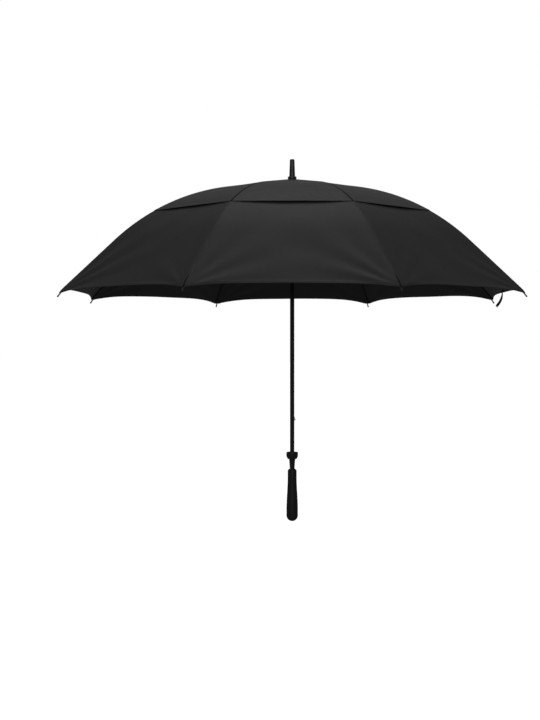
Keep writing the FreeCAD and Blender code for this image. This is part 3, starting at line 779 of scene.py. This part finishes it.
@dataclass
class Canopy:
    """Both layers of cloth, made half a gore at a time."""

    bench: Bench
    line: CanopyLine
    hem_curve: float = 4.2
    front_gore: int = 7
    front_slack: float = 0.0045
    seam_width: float = 0.003
    seam_rise: float = 0.00035
    hem_width: float = 0.009
    hem_rise: float = 0.00022
    seam_columns: tuple[float, ...] = (0.0, 0.0014, 0.0028, 0.0034, 0.0046, 0.008)
    hem_rows: tuple[float, ...] = (0.0, 0.0012, 0.0082, 0.0094, 0.014)
    cape_rows: int = 16
    cape_bend: tuple[float, float] = (0.016, 0.050)
    seam_edge: float = 0.0006
    hem_edge: float = 0.0008
    crown_calm: float = 0.1
    seam_calm: float = 0.03
    narrow: float = 0.02
    pout_start: float = 0.72
    pout_reach: float = 0.28
    fan_peak: tuple[float, float] = (0.055, 0.085)
    fan_folds: tuple[float, float] = (9.0, 13.0)
    fan_strength: tuple[float, float] = (0.6, 1.3)
    fan_foot: float = 0.004
    waves: tuple[tuple[int, float], ...] = ((2, 21.0), (3, 13.0), (1, 8.0))
    wave_strength: float = 0.22
    gather_depth: float = 0.002
    layers: tuple[Layer, ...] = field(init=False)

    def __post_init__(self) -> None:
        """Works out both layers' runs from the line."""
        line = self.line
        self.layers = (
            Layer(
                name="canopy_cloth",
                node="canopy_panel",
                body="outer_rib",
                start=line.at_slope(math.radians(22.9)),
                hem=line.last + 0.2015,
                hem_middle=line.last + 0.1855,
                lift=0.0,
                sag=0.0042,
                pout=0.0,
                crease=0.0011,
                flap=(60.0, 0.64),
                tuck=(20.2, 0.32),
                rows=56,
            ),
            Layer(
                name="vent_cloth",
                node="vent_panel",
                body="inner_rib",
                start=0.0066,
                hem=line.at_slope(math.radians(30.4)),
                hem_middle=line.at_slope(math.radians(30.4)),
                lift=0.00055,
                sag=0.0008,
                pout=0.0005,
                crease=0.0002,
                flap=(69.8, 0.65),
                tuck=(16.4, 0.265),
                cape=0.098,
                rows=46,
                finish=VENT,
            ),
        )

    def build(self) -> None:
        """Makes every half gore of both layers, and the cape round the crown."""
        for layer in self.layers:
            for number in range(1, RIBS + 1):
                for side in Side:
                    self.gather(self.half_gore(layer, number, side), layer, number, side)
                    if layer.cape:
                        self.wrap(self.half_gore(layer, number, side, cape=True), number)

    def hem_run(self, layer: Layer, gore: int, share: float) -> float:
        """Where the hem lies: lowest at the ribs' tips, and a little lower in the front gores than behind.

        Args:
            layer: The cloth.
            gore: The gore's number.
            share: The distance from the gore's middle, from 0 to 1 at the rib.

        Returns:
            The hem's run along the line.
        """
        middle = layer.hem_middle
        if layer.hem > middle:
            middle += self.front_slack * math.cos(math.radians(PITCH * (gore - self.front_gore)))
        return middle + (layer.hem - middle) * share**self.hem_curve

    def creases(self, layer: Layer, gore: int, width: float, across: float, below: float) -> float:
        """How far creases raise the cloth: fans from both lower corners and slow waves between the ribs.

        Args:
            layer: The cloth.
            gore: The gore's number, which seeds its creases.
            width: The gore's width here.
            across: Distance from the gore's first rib.
            below: Distance up from the hem.

        Returns:
            The rise, outwards.
        """
        draw = random.Random(f"{layer.name} {gore}")
        rise = 0.0
        for from_rib in (across, width - across):
            peak = draw.uniform(*self.fan_peak)
            folds = draw.uniform(*self.fan_folds)
            phase = draw.uniform(0.0, math.tau)
            strength = draw.uniform(*self.fan_strength)
            reach = math.hypot(from_rib, below)
            angle = math.atan2(from_rib, below + self.fan_foot)
            swell = (reach / peak) * math.exp(1.0 - reach / peak)
            rise += strength * swell * math.sin(folds * angle + phase) * ease(from_rib / self.seam_calm)
        share = across / width
        bay = math.sin(math.pi * share)
        for waves, climb in self.waves:
            phase = draw.uniform(0.0, math.tau)
            rise += self.wave_strength * bay * math.sin(math.tau * waves * share + climb * below + phase)
        return layer.crease * rise

    def rise(
        self, layer: Layer, gore: int, side: Side, chord: float, out: float, share: float, below: float
    ) -> float:
        """How far a point of the cloth stands outside the canopy's line.

        Args:
            layer: The cloth.
            gore: The gore's number.
            side: The half of the gore's rib.
            chord: The level distance from the rib to the gore's middle here.
            out: The level distance from the rib.
            share: How far down the layer, from 0 at its start to 1 at its hem.
            below: Distance up from the hem.

        Returns:
            The distance outwards.
        """
        width = 2.0 * chord
        across = out if side is Side.LEFT else width - out
        half = out / chord if chord else 0.0
        bay = half * (2.0 - half)
        rise = layer.lift - layer.sag * bay * (1.0 - share**2)
        rise += layer.pout * bay * ease((share - self.pout_start) / self.pout_reach)
        rise += self.seam_rise * (1.0 - ease((out - self.seam_width) / self.seam_edge))
        rise += self.hem_rise * (1.0 - ease((below - self.hem_width) / self.hem_edge))
        if width > self.narrow:
            rise += self.creases(layer, gore, width, across, below) * ease(share / self.crown_calm)
        return rise

    def outwards(self, run: float, out: float, side: Side) -> Vector:
        """The direction away from the cloth: the rib's own at the seam, and the flat gore's further out.

        Args:
            run: The length along the line from the crown.
            out: The level distance from the rib.
            side: The half of the gore's rib.

        Returns:
            The direction, of length 1.
        """
        slope = self.line.slope(run)
        steep = math.atan(math.tan(slope) / math.cos(HALF_PITCH))
        flat = math.sin(steep)
        over_rib = Vector((math.sin(slope), 0.0, math.cos(slope)))
        over_gore = Vector(
            (flat * math.cos(HALF_PITCH), side.value * flat * math.sin(HALF_PITCH), math.cos(steep))
        )
        return over_rib.lerp(over_gore, ease(out / self.seam_calm)).normalized()

    def half_gore(self, layer: Layer, number: int, side: Side, cape: bool = False) -> Piece:
        """Makes the cloth on one side of a rib, or the part of it round the crown.

        Args:
            layer: The cloth.
            number: The rib's number.
            side: Which side of it.
            cape: Whether to make the part round the crown, and not what lies below it.

        Returns:
            The piece.
        """
        gore = number if side is Side.LEFT else (number - 2) % RIBS + 1
        level = Vector((-math.sin(HALF_PITCH), side.value * math.cos(HALF_PITCH), 0.0))
        hem_rows = (0.0,) if cape else self.hem_rows
        rows = self.cape_rows if cape else layer.rows
        top = layer.start if cape else max(layer.start, layer.cape)
        fixed_rows, fixed_columns = len(hem_rows), len(self.seam_columns)
        wide = layer.columns + fixed_columns
        corners, cuts = [], []
        for row in range(rows + fixed_rows):
            for column in range(wide):
                spread = max(0, column - fixed_columns + 1) / layer.columns
                hem = self.hem_run(layer, gore, 1.0 - spread)
                foot = layer.cape if cape else hem
                if row < fixed_rows:
                    run = foot - hem_rows[row]
                else:
                    share = (row - fixed_rows + 1) / rows
                    run = foot - hem_rows[-1]
                    run += (top - run) * share
                base = self.line.point(run)
                chord = base.x * math.sin(HALF_PITCH)
                seam = min(self.seam_columns[min(column, fixed_columns - 1)], chord * 0.5)
                out = seam + (chord - seam) * spread
                down = (run - layer.start) / (layer.hem - layer.start)
                rise = self.rise(layer, gore, side, chord, out, down, hem - run)
                corners.append(base + level * out + self.outwards(run, out, side) * rise)
                cuts.append((out, hem - run))
        name = f"{'crown_cape' if cape else layer.name}_{side.name.lower()}_{number}"
        piece = self.bench.woven(name, corners, cuts, wide, around(number), flip=side is Side.LEFT)
        self.bench.apply(piece, "SOLIDIFY", thickness=layer.thickness, offset=-1.0)
        self.bench.settle(piece, name, SHADE_CLOTH)
        body = "" if cape else f"{layer.body}_{number}"
        self.bench.place(piece, layer.finish, body, f"{layer.node}_{number}")
        end = layer.cape if cape else layer.hem
        width = self.line.point(end).x * math.sin(HALF_PITCH)
        return piece

    def wrap(self, piece: Piece, number: int) -> None:
        """Puts the place of a part of the cape into its mesh.

        Args:
            piece: The piece.
            number: The rib's number.
        """
        turn = around(number)
        start, end = (tuple(turn @ self.line.point(run)) for run in self.cape_bend)
        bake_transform(piece)

    def gather(self, piece: Piece, layer: Layer, number: int, side: Side) -> None:
        """Gives a piece its own copy of its mesh.

        Args:
            piece: The piece.
            layer: The cloth.
            number: The rib's number; not used.
            side: Which side of it; not used.
        """
        chord = (self.line.point(layer.hem) - self.line.point(layer.start)).normalized()
        anchor = self.line.point((layer.start + layer.hem) / 2, -self.gather_depth)
        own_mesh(piece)


@dataclass
class Strap:
    """The closing strap inside the hem, on the first rib's left, with a press stud."""

    bench: Bench
    canopy: Canopy
    top: tuple[float, float] = (0.5795, 0.6385)
    foot: tuple[float, float] = (0.5665, 0.5955)
    bow: float = 0.006
    twist: tuple[float, float] = (math.radians(14), math.radians(34))
    width: float = 0.018
    thickness: float = 0.0012
    point: float = 0.005
    stud_share: float = 0.78
    stud_lean: float = math.radians(112)
    stud_outline: Outline = (
        (0.0049, 0.0),
        (0.005, 0.0008),
        (0.0045, 0.0014),
        (0.003, 0.0017),
        (0.0016, 0.0013),
        (0.0005, 0.0012),
    )
    stud_sides: int = 32
    steps: int = 24
    across: int = 9

    @property
    def length(self) -> float:
        """The ribbon's length."""
        return self.top[1] - self.foot[1]

    def place(self, share: float) -> tuple[float, float, float]:
        """Where the ribbon's middle is at a share of its length: radius, height and twist."""
        first, last = self.twist
        x = self.top[0] + (self.foot[0] - self.top[0]) * share + 4.0 * self.bow * share * (1.0 - share)
        z = self.top[1] + (self.foot[1] - self.top[1]) * share
        return x, z, first + (last - first) * ease(share)

    def build(self) -> None:
        """Makes the ribbon and its stud."""
        turn = Matrix.Rotation(HALF_PITCH, 4, "Z")
        corners, cuts = [], []
        for step in range(self.steps + 1):
            share = step / self.steps
            for lane in range(self.across):
                side = 2.0 * lane / (self.across - 1) - 1.0
                tip = self.point * (1.0 - abs(side)) if step == self.steps else 0.0
                x, z, twist = self.place(share)
                reach = side * self.width / 2
                corners.append((x + reach * math.sin(twist), reach * math.cos(twist), z - tip))
                cuts.append(((1.0 - abs(side)) * self.width / 2, (1.0 - share) * self.length))
        ribbon = self.bench.woven("strap_ribbon", corners, cuts, self.across, turn)
        self.bench.apply(ribbon, "SOLIDIFY", thickness=self.thickness, offset=0.0)
        self.bench.settle(ribbon, "strap_ribbon", SHADE_ROD)
        self.bench.place(ribbon, WEBBING, "outer_rib_1", "canopy_strap")
        stud = self.stud(turn)
        lower = self.canopy.layers[0]
        self.canopy.gather(ribbon, lower, 1, Side.LEFT)
        self.canopy.gather(stud, lower, 1, Side.LEFT)

    def stud(self, turn: Matrix) -> Piece:
        """Makes the press stud's cap.

        Args:
            turn: The turn from the first rib's plane to the gore's middle.

        Returns:
            The piece.
        """
        piece = self.bench.turned("strap_stud", self.stud_outline, self.stud_sides)
        x, z, twist = self.place(self.stud_share)
        stand = Matrix.Translation((x, 0.0, z)) @ Matrix.Rotation(-twist, 4, "Z")
        push = Matrix.Translation((0.0, 0.0, self.thickness / 2))
        piece.data.transform(turn @ stand @ Matrix.Rotation(self.stud_lean, 4, "Y") @ push)
        self.bench.settle(piece, "strap_stud")
        return self.bench.place(piece, MOULDING, "outer_rib_1")


@dataclass
class Rib:
    """A rib with its fork, pin, eye and tip, and its stretcher.

    An outline gives the radius and height of each station. tip_knob's heights are measured down from the end.
    """

    bench: Bench
    line: CanopyLine
    number: int
    rod_radius: float = 0.00175
    rod_inset: float = 0.0027
    rod_start: float = 0.026
    rod_end_run: float = 0.1845
    flex_slope: float = math.radians(22.5)
    flex_reach: float = 0.035
    rod_sides: int = 14
    rod_steps: int = 96
    fork_slope: float = math.radians(19.8)
    fork_drop: float = 0.006
    saddle: tuple[float, float, float] = (0.015, 0.0054, 0.0044)
    saddle_drop: float = 0.0009
    cheek_half: float = 0.0026
    cheek_drop: float = 0.0055
    gap_half: float = 0.0015
    fork_bevel: float = 0.0006
    pin_half: float = 0.0027
    pin_radius: float = 0.001
    pin_sides: int = 20
    rivet: Outline = ((0.0016, 0.0), (0.0014, 0.0003), (0.0007, 0.0004))
    rivet_step: float = 0.0001
    pivot: tuple[float, float] = (0.010, 0.923)
    eye_radius: float = 0.0024
    eye_width: float = 0.002
    eye_overlap: float = 0.008
    eye_bevel: float = 0.0003
    eye_sides: int = 32
    bevel_angle: float = math.radians(60)
    tip_slope: float = math.radians(52.0)
    tip_length: float = 0.0272
    tip_gap: float = 0.0005
    tip_sides: int = 24
    tip_socket: Outline = (
        (0.0019, 0.0),
        (0.0023, 0.0005),
        (0.0023, 0.0094),
        (0.0021, 0.0103),
        (0.0019, 0.0109),
    )
    tip_knob: Outline = (
        (0.00185, 0.0048),
        (0.0021, 0.0039),
        (0.0022, 0.0028),
        (0.0022, 0.0011),
        (0.0016, 0.0003),
        (0.0008, 0.0),
    )

    def build(self) -> None:
        """Makes all pieces of the rib."""
        self.rod()
        self.fork()
        self.pin()
        self.eye()
        self.tip()
        node = f"stretcher_{self.number}"
        self.bench.smooth_copy(node, f"stretcher_rod_{self.number}", ROD, node, SHADE_ROD)

    def flex_point(self, along: float) -> Vector:
        """A point of the rod's line, a distance past the flex point."""
        return self.line.point(self.line.at_slope(self.flex_slope) + along, -self.rod_inset)

    def rod(self) -> None:
        """Makes the rod along the canopy's line."""
        first = self.rod_start / math.cos(self.line.inner_slope)
        last = self.line.last + self.rod_end_run
        steps = self.rod_steps
        stations = [(self.rod_radius, first + (last - first) * k / steps) for k in range(steps + 1)]
        piece = self.bench.turned("rod", stations, self.rod_sides)
        for corner in piece.data.vertices:
            across, side, run = corner.co
            corner.co = self.line.point(run, across - self.rod_inset) + Vector((0.0, side, 0.0))
        turn = around(self.number)
        piece.data.transform(turn)
        self.bench.settle(piece, f"rib_fibre_{self.number}", SHADE_ROD)
        bpy.ops.object.mode_set(mode="EDIT")
        bpy.ops.mesh.select_all(action="SELECT")
        bpy.ops.mesh.normals_make_consistent(inside=False)
        bpy.ops.object.mode_set(mode="OBJECT")
        self.bench.place(piece, ROD, "", f"rib_rod_{self.number}")
        tuple(turn @ self.flex_point(-self.flex_reach))
        tuple(turn @ self.flex_point(self.flex_reach))
        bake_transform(piece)

    def fork_place(self) -> Matrix:
        """The place of the fork: X along the rod, Z outwards, at the rod's middle."""
        base = self.line.point(self.line.at_slope(self.fork_slope), -self.rod_inset)
        return around(self.number) @ Matrix.Translation(base) @ Matrix.Rotation(self.fork_slope, 4, "Y")

    def fork(self) -> None:
        """Makes the saddle under the rod and the block below it, which stands for both cheeks.

        The gap between the cheeks is marked by edges but isn't open: going to edit mode in vertex select mode
        picks the face between the two cheeks with them.
        """
        bpy.ops.object.select_all(action="DESELECT")
        bpy.ops.mesh.primitive_cube_add(size=1.0)
        piece = bpy.context.object
        drop = Matrix.Translation((0, 0, -self.saddle_drop))
        piece.data.transform(drop @ Matrix.Diagonal((*self.saddle, 1.0)))
        bpy.ops.object.mode_set(mode="EDIT")
        for half, normal in ((self.cheek_half, Vector((1, 0, 0))), (self.gap_half, Vector((0, 1, 0)))):
            for sign in (1, -1):
                bpy.ops.mesh.select_all(action="SELECT")
                bpy.ops.mesh.bisect(plane_co=normal * half * sign, plane_no=normal)
        bpy.ops.mesh.select_all(action="DESELECT")
        bpy.ops.object.mode_set(mode="OBJECT")
        for face in piece.data.polygons:
            x, y, _ = face.center
            looks_down = face.normal.z < -0.9
            face.select = looks_down and abs(x) < self.cheek_half and abs(y) > self.gap_half
        bpy.ops.object.mode_set(mode="EDIT")
        bpy.ops.mesh.select_mode(type="FACE")
        bpy.ops.mesh.extrude_region_move(TRANSFORM_OT_translate={"value": (0, 0, -self.cheek_drop)})
        bpy.ops.mesh.select_all(action="SELECT")
        bpy.ops.mesh.remove_doubles(threshold=MERGE)
        bpy.ops.mesh.select_mode(type="VERT")
        bpy.ops.object.mode_set(mode="OBJECT")
        self.bevel(piece, self.fork_bevel, 3)
        piece.data.transform(self.fork_place())
        self.bench.settle(piece, f"rib_fork_{self.number}")
        self.bench.place(piece, MOULDING, f"inner_rib_{self.number}", f"rib_{self.number}")

    def bevel(self, piece: Piece, width: float, segments: int) -> None:
        """Rounds a piece's sharp edges.

        Args:
            piece: The piece.
            width: The bevel's width.
            segments: How many segments it has.
        """
        limit = {"limit_method": "ANGLE", "angle_limit": self.bevel_angle}
        self.bench.apply(piece, "BEVEL", width=width, segments=segments, **limit)

    def pin(self) -> None:
        """Makes the riveted pin through the fork."""
        half = self.pin_half
        upper = [(self.pin_radius, half - self.rivet_step)]
        upper += [(radius, half + height) for radius, height in self.rivet]
        lower = [(radius, -height) for radius, height in reversed(upper)]
        piece = self.bench.turned("pin", lower + upper, self.pin_sides)
        lie = Matrix.Translation((0, 0, -self.fork_drop)) @ Matrix.Rotation(math.pi / 2, 4, "X")
        piece.data.transform(self.fork_place() @ lie)
        self.bench.settle(piece, f"rib_pin_{self.number}")
        self.bench.place(piece, WIRE, f"inner_rib_{self.number}")

    def eye(self) -> None:
        """Makes the flat eye, without a bore, that turns on the crown wire and holds the rod's inner end."""
        pivot = Vector((self.pivot[0], 0.0, self.pivot[1]))
        root_run = (self.rod_start + self.eye_overlap) / math.cos(self.line.inner_slope)
        reach = self.line.point(root_run, -self.rod_inset) - pivot
        bpy.ops.object.select_all(action="DESELECT")
        bpy.ops.mesh.primitive_cylinder_add(
            vertices=self.eye_sides, radius=self.eye_radius, depth=self.eye_width
        )
        piece = bpy.context.object
        for corner in piece.data.vertices:
            if corner.co.x > MERGE:
                corner.co.x += reach.length
        self.bevel(piece, self.eye_bevel, 2)
        rise = math.atan2(reach.z, reach.x)
        lie = Matrix.Rotation(-rise, 4, "Y") @ Matrix.Rotation(math.pi / 2, 4, "X")
        piece.data.transform(around(self.number) @ Matrix.Translation(pivot) @ lie)
        self.bench.settle(piece, f"rib_eye_{self.number}")
        self.bench.place(piece, MOULDING, f"inner_rib_{self.number}")

    def tip(self) -> None:
        """Makes the tip cap: socket, slim neck and rounded knob."""
        knob = ((radius, self.tip_length - down) for radius, down in self.tip_knob)
        piece = self.bench.turned("tip", [*self.tip_socket, *knob], self.tip_sides)
        foot = self.line.point(self.line.last + self.rod_end_run + self.tip_gap, -self.rod_inset)
        place = Matrix.Translation(foot) @ Matrix.Rotation(math.pi / 2 + self.tip_slope, 4, "Y")
        piece.data.transform(around(self.number) @ place)
        self.bench.settle(piece, f"tip_cap_{self.number}")
        self.bench.place(piece, TIP, f"outer_rib_{self.number}", f"rib_tip_{self.number}")


@dataclass
class Stem:
    """Shaft, grip, cup, ferrule, crown, runner and catches."""

    bench: Bench
    sides: int = 96
    end_radius: float = 0.0158
    end_steps: int = 20
    end_start: float = 6.0
    taper_foot: float = 0.032
    taper_top: float = 0.120
    taper_steps: int = 12
    taper_ends: float = 0.02
    waist_radius: float = 0.01235
    shoulder: float = 0.1406
    shoulder_edge: float = 0.0012
    grip_top: float = 0.145
    grip_top_radius: float = 0.0082
    bore: float = 0.00605
    neck_foot: float = 0.1452
    neck_radius: float = 0.0063
    neck_growth: float = 0.00042
    rings: int = 4
    ring: float = 0.0009
    ring_start: float = 0.0022
    ring_pitch: float = 0.006
    ring_height: float = 0.004
    ring_edge: float = 0.0006
    cup_foot: float = 0.1708
    cup_round: float = 0.0125
    cup_radius: float = 0.0161
    cup_wall: float = 0.0015
    cup_lip_wall: float = 0.00065
    cup_lead: float = 0.004
    cup_lip: float = 0.0003
    cup_floor: float = 0.179
    cup_floor_edge: float = 0.002
    cup_mouth: float = 0.1908
    ferrule_top: float = 1.0
    ferrule_round: float = 0.0022
    ferrule_tip_radius: float = 0.0065
    ferrule_foot_radius: float = 0.008
    ferrule_fillet: Outline = ((0.0014, 0.0002), (0.0004, 0.0008), (0.0, 0.002))
    ferrule_centre: float = 0.0006
    ferrule_sides: int = 72
    flange_radius: float = 0.012
    flange_top: float = 0.952
    flange_foot: float = 0.9452
    flange_edge: float = 0.0006
    flange_round: float = 0.0016

    def build(self) -> None:
        """Makes the whole stem."""
        self.grip()
        self.cup()
        self.ferrule()
        for node, name, finish, body, smooth in (
            ("shaft", "shaft_tube", LACQUER, "stem", SHADE_PART),
            ("crown_washer", "crown_disc", WASHER, "stem", SHADE_PART),
            ("crown_notch", "crown_collar", MOULDING, "stem", SHADE_PART),
            ("crown_wire", "crown_ring", WIRE, "stem", SHADE_ROD),
            ("runner", "runner_sleeve", MOULDING, "runner", SHADE_PART),
            ("runner_wire", "runner_ring", WIRE, "runner", SHADE_ROD),
            ("top_catch", "top_catch_nose", CATCH, "top_catch", SHADE_PART),
            ("bottom_catch", "bottom_catch_nose", CATCH, "bottom_catch", SHADE_PART),
        ):
            self.bench.smooth_copy(node, name, finish, body, smooth)

    def grip(self) -> None:
        """Makes the grip: round end, slow taper, waist and shoulder."""
        dome = bowl(0.0, self.end_radius, 0.0, self.end_radius, self.end_steps, self.end_start)
        taper = []
        for k in range(1, self.taper_steps + 1):
            share = k / self.taper_steps
            narrowing = ease(share * (1.0 - 2.0 * self.taper_ends) + self.taper_ends)
            radius = self.end_radius + (self.waist_radius - self.end_radius) * narrowing
            taper.append((radius, self.taper_foot + (self.taper_top - self.taper_foot) * share))
        edge = self.shoulder_edge
        top = [
            (self.waist_radius, self.shoulder - edge),
            (self.waist_radius - edge / 4, self.shoulder),
            (self.waist_radius - edge, self.shoulder + edge * 4 / 3),
            (self.grip_top_radius + edge * 2 / 3, self.grip_top - edge),
            (self.grip_top_radius - edge / 3, self.grip_top),
            (self.bore, self.grip_top),
        ]
        piece = self.bench.turned("grip", dome + taper + top, self.sides)
        self.bench.settle(piece, "soft_grip", SHADE_TURNED)
        self.bench.place(piece, SOFT_TOUCH, "stem", "handle_grip")

    def cup(self) -> None:
        """Makes the tip cup on its ringed neck."""
        stations = [(self.bore, self.neck_foot), (self.neck_radius, self.neck_foot)]
        soft = self.ring_edge
        for ring in range(self.rings):
            foot = self.neck_foot + self.ring_start + ring * self.ring_pitch
            top = foot + self.ring_height
            neck = self.neck_radius + ring * self.neck_growth
            stations += [
                (neck, foot),
                (neck + self.ring - soft, foot),
                (neck + self.ring, foot + soft),
                (neck + self.ring, top - soft),
                (neck + self.ring - soft, top),
                (neck + self.neck_growth, top),
            ]
        inner = self.neck_radius + self.rings * self.neck_growth
        stations += bowl(inner, self.cup_radius, self.cup_foot, self.cup_round, steps=10)
        lip = self.cup_lip
        inside = self.cup_radius - self.cup_wall
        stations += [
            (self.cup_radius, self.cup_mouth - 2.4 * lip),
            (self.cup_radius - 0.3 * lip, self.cup_mouth - 1.2 * lip),
            (self.cup_radius - 0.9 * lip, self.cup_mouth - 0.4 * lip),
            (self.cup_radius - 1.6 * lip, self.cup_mouth),
            (self.cup_radius - self.cup_lip_wall, self.cup_mouth),
            (inside, self.cup_mouth - self.cup_lead),
            (inside, self.cup_floor + self.cup_floor_edge),
            (inside - self.cup_floor_edge, self.cup_floor),
            (self.bore, self.cup_floor),
            (self.bore, self.neck_foot),
        ]
        piece = self.bench.turned("cup", stations, self.sides)
        self.bench.settle(piece, "tip_cup_shell", SHADE_TURNED)
        self.bench.place(piece, CUP_PLASTIC, "stem", "tip_cup")

    def ferrule(self) -> None:
        """Makes the ferrule: flange, tapered spike and rounded top."""
        stations = [
            (self.bore, self.flange_foot),
            (self.flange_radius - self.flange_edge, self.flange_foot),
            (self.flange_radius, self.flange_foot + self.flange_edge),
        ]
        stations += shoulder(self.flange_radius, self.flange_top, self.flange_round, steps=5)
        for out, up in self.ferrule_fillet:
            stations.append((self.ferrule_foot_radius + out, self.flange_top + up))
        stations += shoulder(self.ferrule_tip_radius, self.ferrule_top, self.ferrule_round, steps=6)
        stations.append((self.ferrule_centre, self.ferrule_top))
        piece = self.bench.turned("ferrule", stations, self.ferrule_sides)
        self.bench.settle(piece, "ferrule_cap", SHADE_TURNED)
        self.bench.place(piece, CAP_PLASTIC, "stem", "ferrule")


@dataclass(frozen=True)
class Lamp:
    """A square soft lamp: its turn from the camera's bearing, and its distance, height, size and power."""

    name: str
    turn: float
    distance: float
    height: float
    size: float
    power: float


@dataclass
class Studio:
    """White room, soft lamps and the camera."""

    floor_level: float = -3.0
    floor_size: float = 400.0
    floor_white: float = 0.6
    floor_glow: float = 0.96
    world_strength: float = 0.16
    bearing: float = math.radians(22.5)
    distance: float = 3.29
    height: float = 0.493
    lens: float = 59.5
    shift: tuple[float, float] = (-0.0308, -0.0240)
    clip_start: float = 0.01
    lamps: tuple[Lamp, ...] = (
        Lamp("key", math.radians(-3), distance=4.8, height=2.6, size=2.4, power=84.0),
        Lamp("top", math.radians(180), distance=0.9, height=4.4, size=2.6, power=26.0),
    )
    lamp_aim: float = 0.7

    def build(self) -> None:
        """Makes the floor, the world, the lamps and the camera."""
        self.floor()
        self.world()
        for lamp in self.lamps:
            self.hang(lamp)
        self.camera()
        bpy.context.scene.view_settings.view_transform = "Standard"

    def floor(self) -> None:
        """Makes the white floor under the held umbrella."""
        bpy.ops.object.select_all(action="DESELECT")
        bpy.ops.mesh.primitive_plane_add(size=self.floor_size, location=(0, 0, self.floor_level))
        floor = bpy.context.object
        floor.name = "studio_floor"
        graph = Graph("studio_white")
        white = graph.add("BsdfDiffuse", Color=(self.floor_white,) * 3 + (1.0,))
        seen = graph.add("LightPath").outputs["Is Camera Ray"]
        glow = graph.add("Emission", Strength=graph.math("MULTIPLY", seen, self.floor_glow))
        both = graph.add("AddShader")
        graph.links.new(white.outputs[0], both.inputs[0])
        graph.links.new(glow.outputs[0], both.inputs[1])
        graph.links.new(both.outputs[0], graph.output.inputs[0])
        floor.data.materials.append(graph.material)

    def world(self) -> None:
        """Makes the world white to the camera and dim as a light."""
        world = bpy.data.worlds.new("studio_world")
        world.use_nodes = True
        nodes, links = world.node_tree.nodes, world.node_tree.links
        nodes.clear()
        path = nodes.new("ShaderNodeLightPath")
        seen = nodes.new("ShaderNodeMath")
        seen.operation = "MULTIPLY_ADD"
        links.new(path.outputs["Is Camera Ray"], seen.inputs[0])
        seen.inputs[1].default_value = 1.0 - self.world_strength
        seen.inputs[2].default_value = self.world_strength
        background = nodes.new("ShaderNodeBackground")
        background.inputs["Color"].default_value = (1.0, 1.0, 1.0, 1.0)
        links.new(seen.outputs[0], background.inputs["Strength"])
        output = nodes.new("ShaderNodeOutputWorld")
        links.new(background.outputs[0], output.inputs[0])
        bpy.context.scene.world = world

    @staticmethod
    def stand(bearing: float, distance: float, height: float) -> Vector:
        """The place at a distance from the shaft, on a bearing from the front, and at a height."""
        return Vector((distance * math.sin(bearing), -distance * math.cos(bearing), height))

    def hang(self, lamp: Lamp) -> None:
        """Hangs a lamp and aims it at the shaft.

        Args:
            lamp: The lamp.
        """
        light = bpy.data.lights.new(lamp.name, "AREA")
        light.shape = "SQUARE"
        light.size = lamp.size
        light.energy = lamp.power
        hung = bpy.data.objects.new(lamp.name, light)
        hung.location = self.stand(self.bearing + lamp.turn, lamp.distance, lamp.height)
        aim = Vector((0.0, 0.0, self.lamp_aim)) - hung.location
        hung.rotation_euler = aim.to_track_quat("-Z", "Y").to_euler()
        bpy.context.scene.collection.objects.link(hung)

    def camera(self) -> None:
        """Sets the camera level with the lower shaft, so that the rim is seen from just below."""
        lens = bpy.data.cameras.new("portrait")
        lens.lens = self.lens
        lens.shift_x, lens.shift_y = self.shift
        lens.clip_start = self.clip_start
        camera = bpy.data.objects.new("portrait", lens)
        camera.location = self.stand(self.bearing, self.distance, self.height)
        camera.rotation_euler = (math.pi / 2, 0.0, self.bearing)
        bpy.context.scene.collection.objects.link(camera)
        bpy.context.scene.camera = camera


def main() -> None:
    """Builds the sub-assemblies in order."""
    logging.basicConfig(level=logging.INFO, format="%(name)s %(message)s")
    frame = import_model()
    bench = Bench(frame)
    line = CanopyLine()
    canopy = Canopy(bench, line)
    canopy.build()
    Strap(bench, canopy).build()
    for number in range(1, RIBS + 1):
        Rib(bench, line, number).build()
    Stem(bench).build()
    Studio().build()


if __name__ == "__main__":
    main()
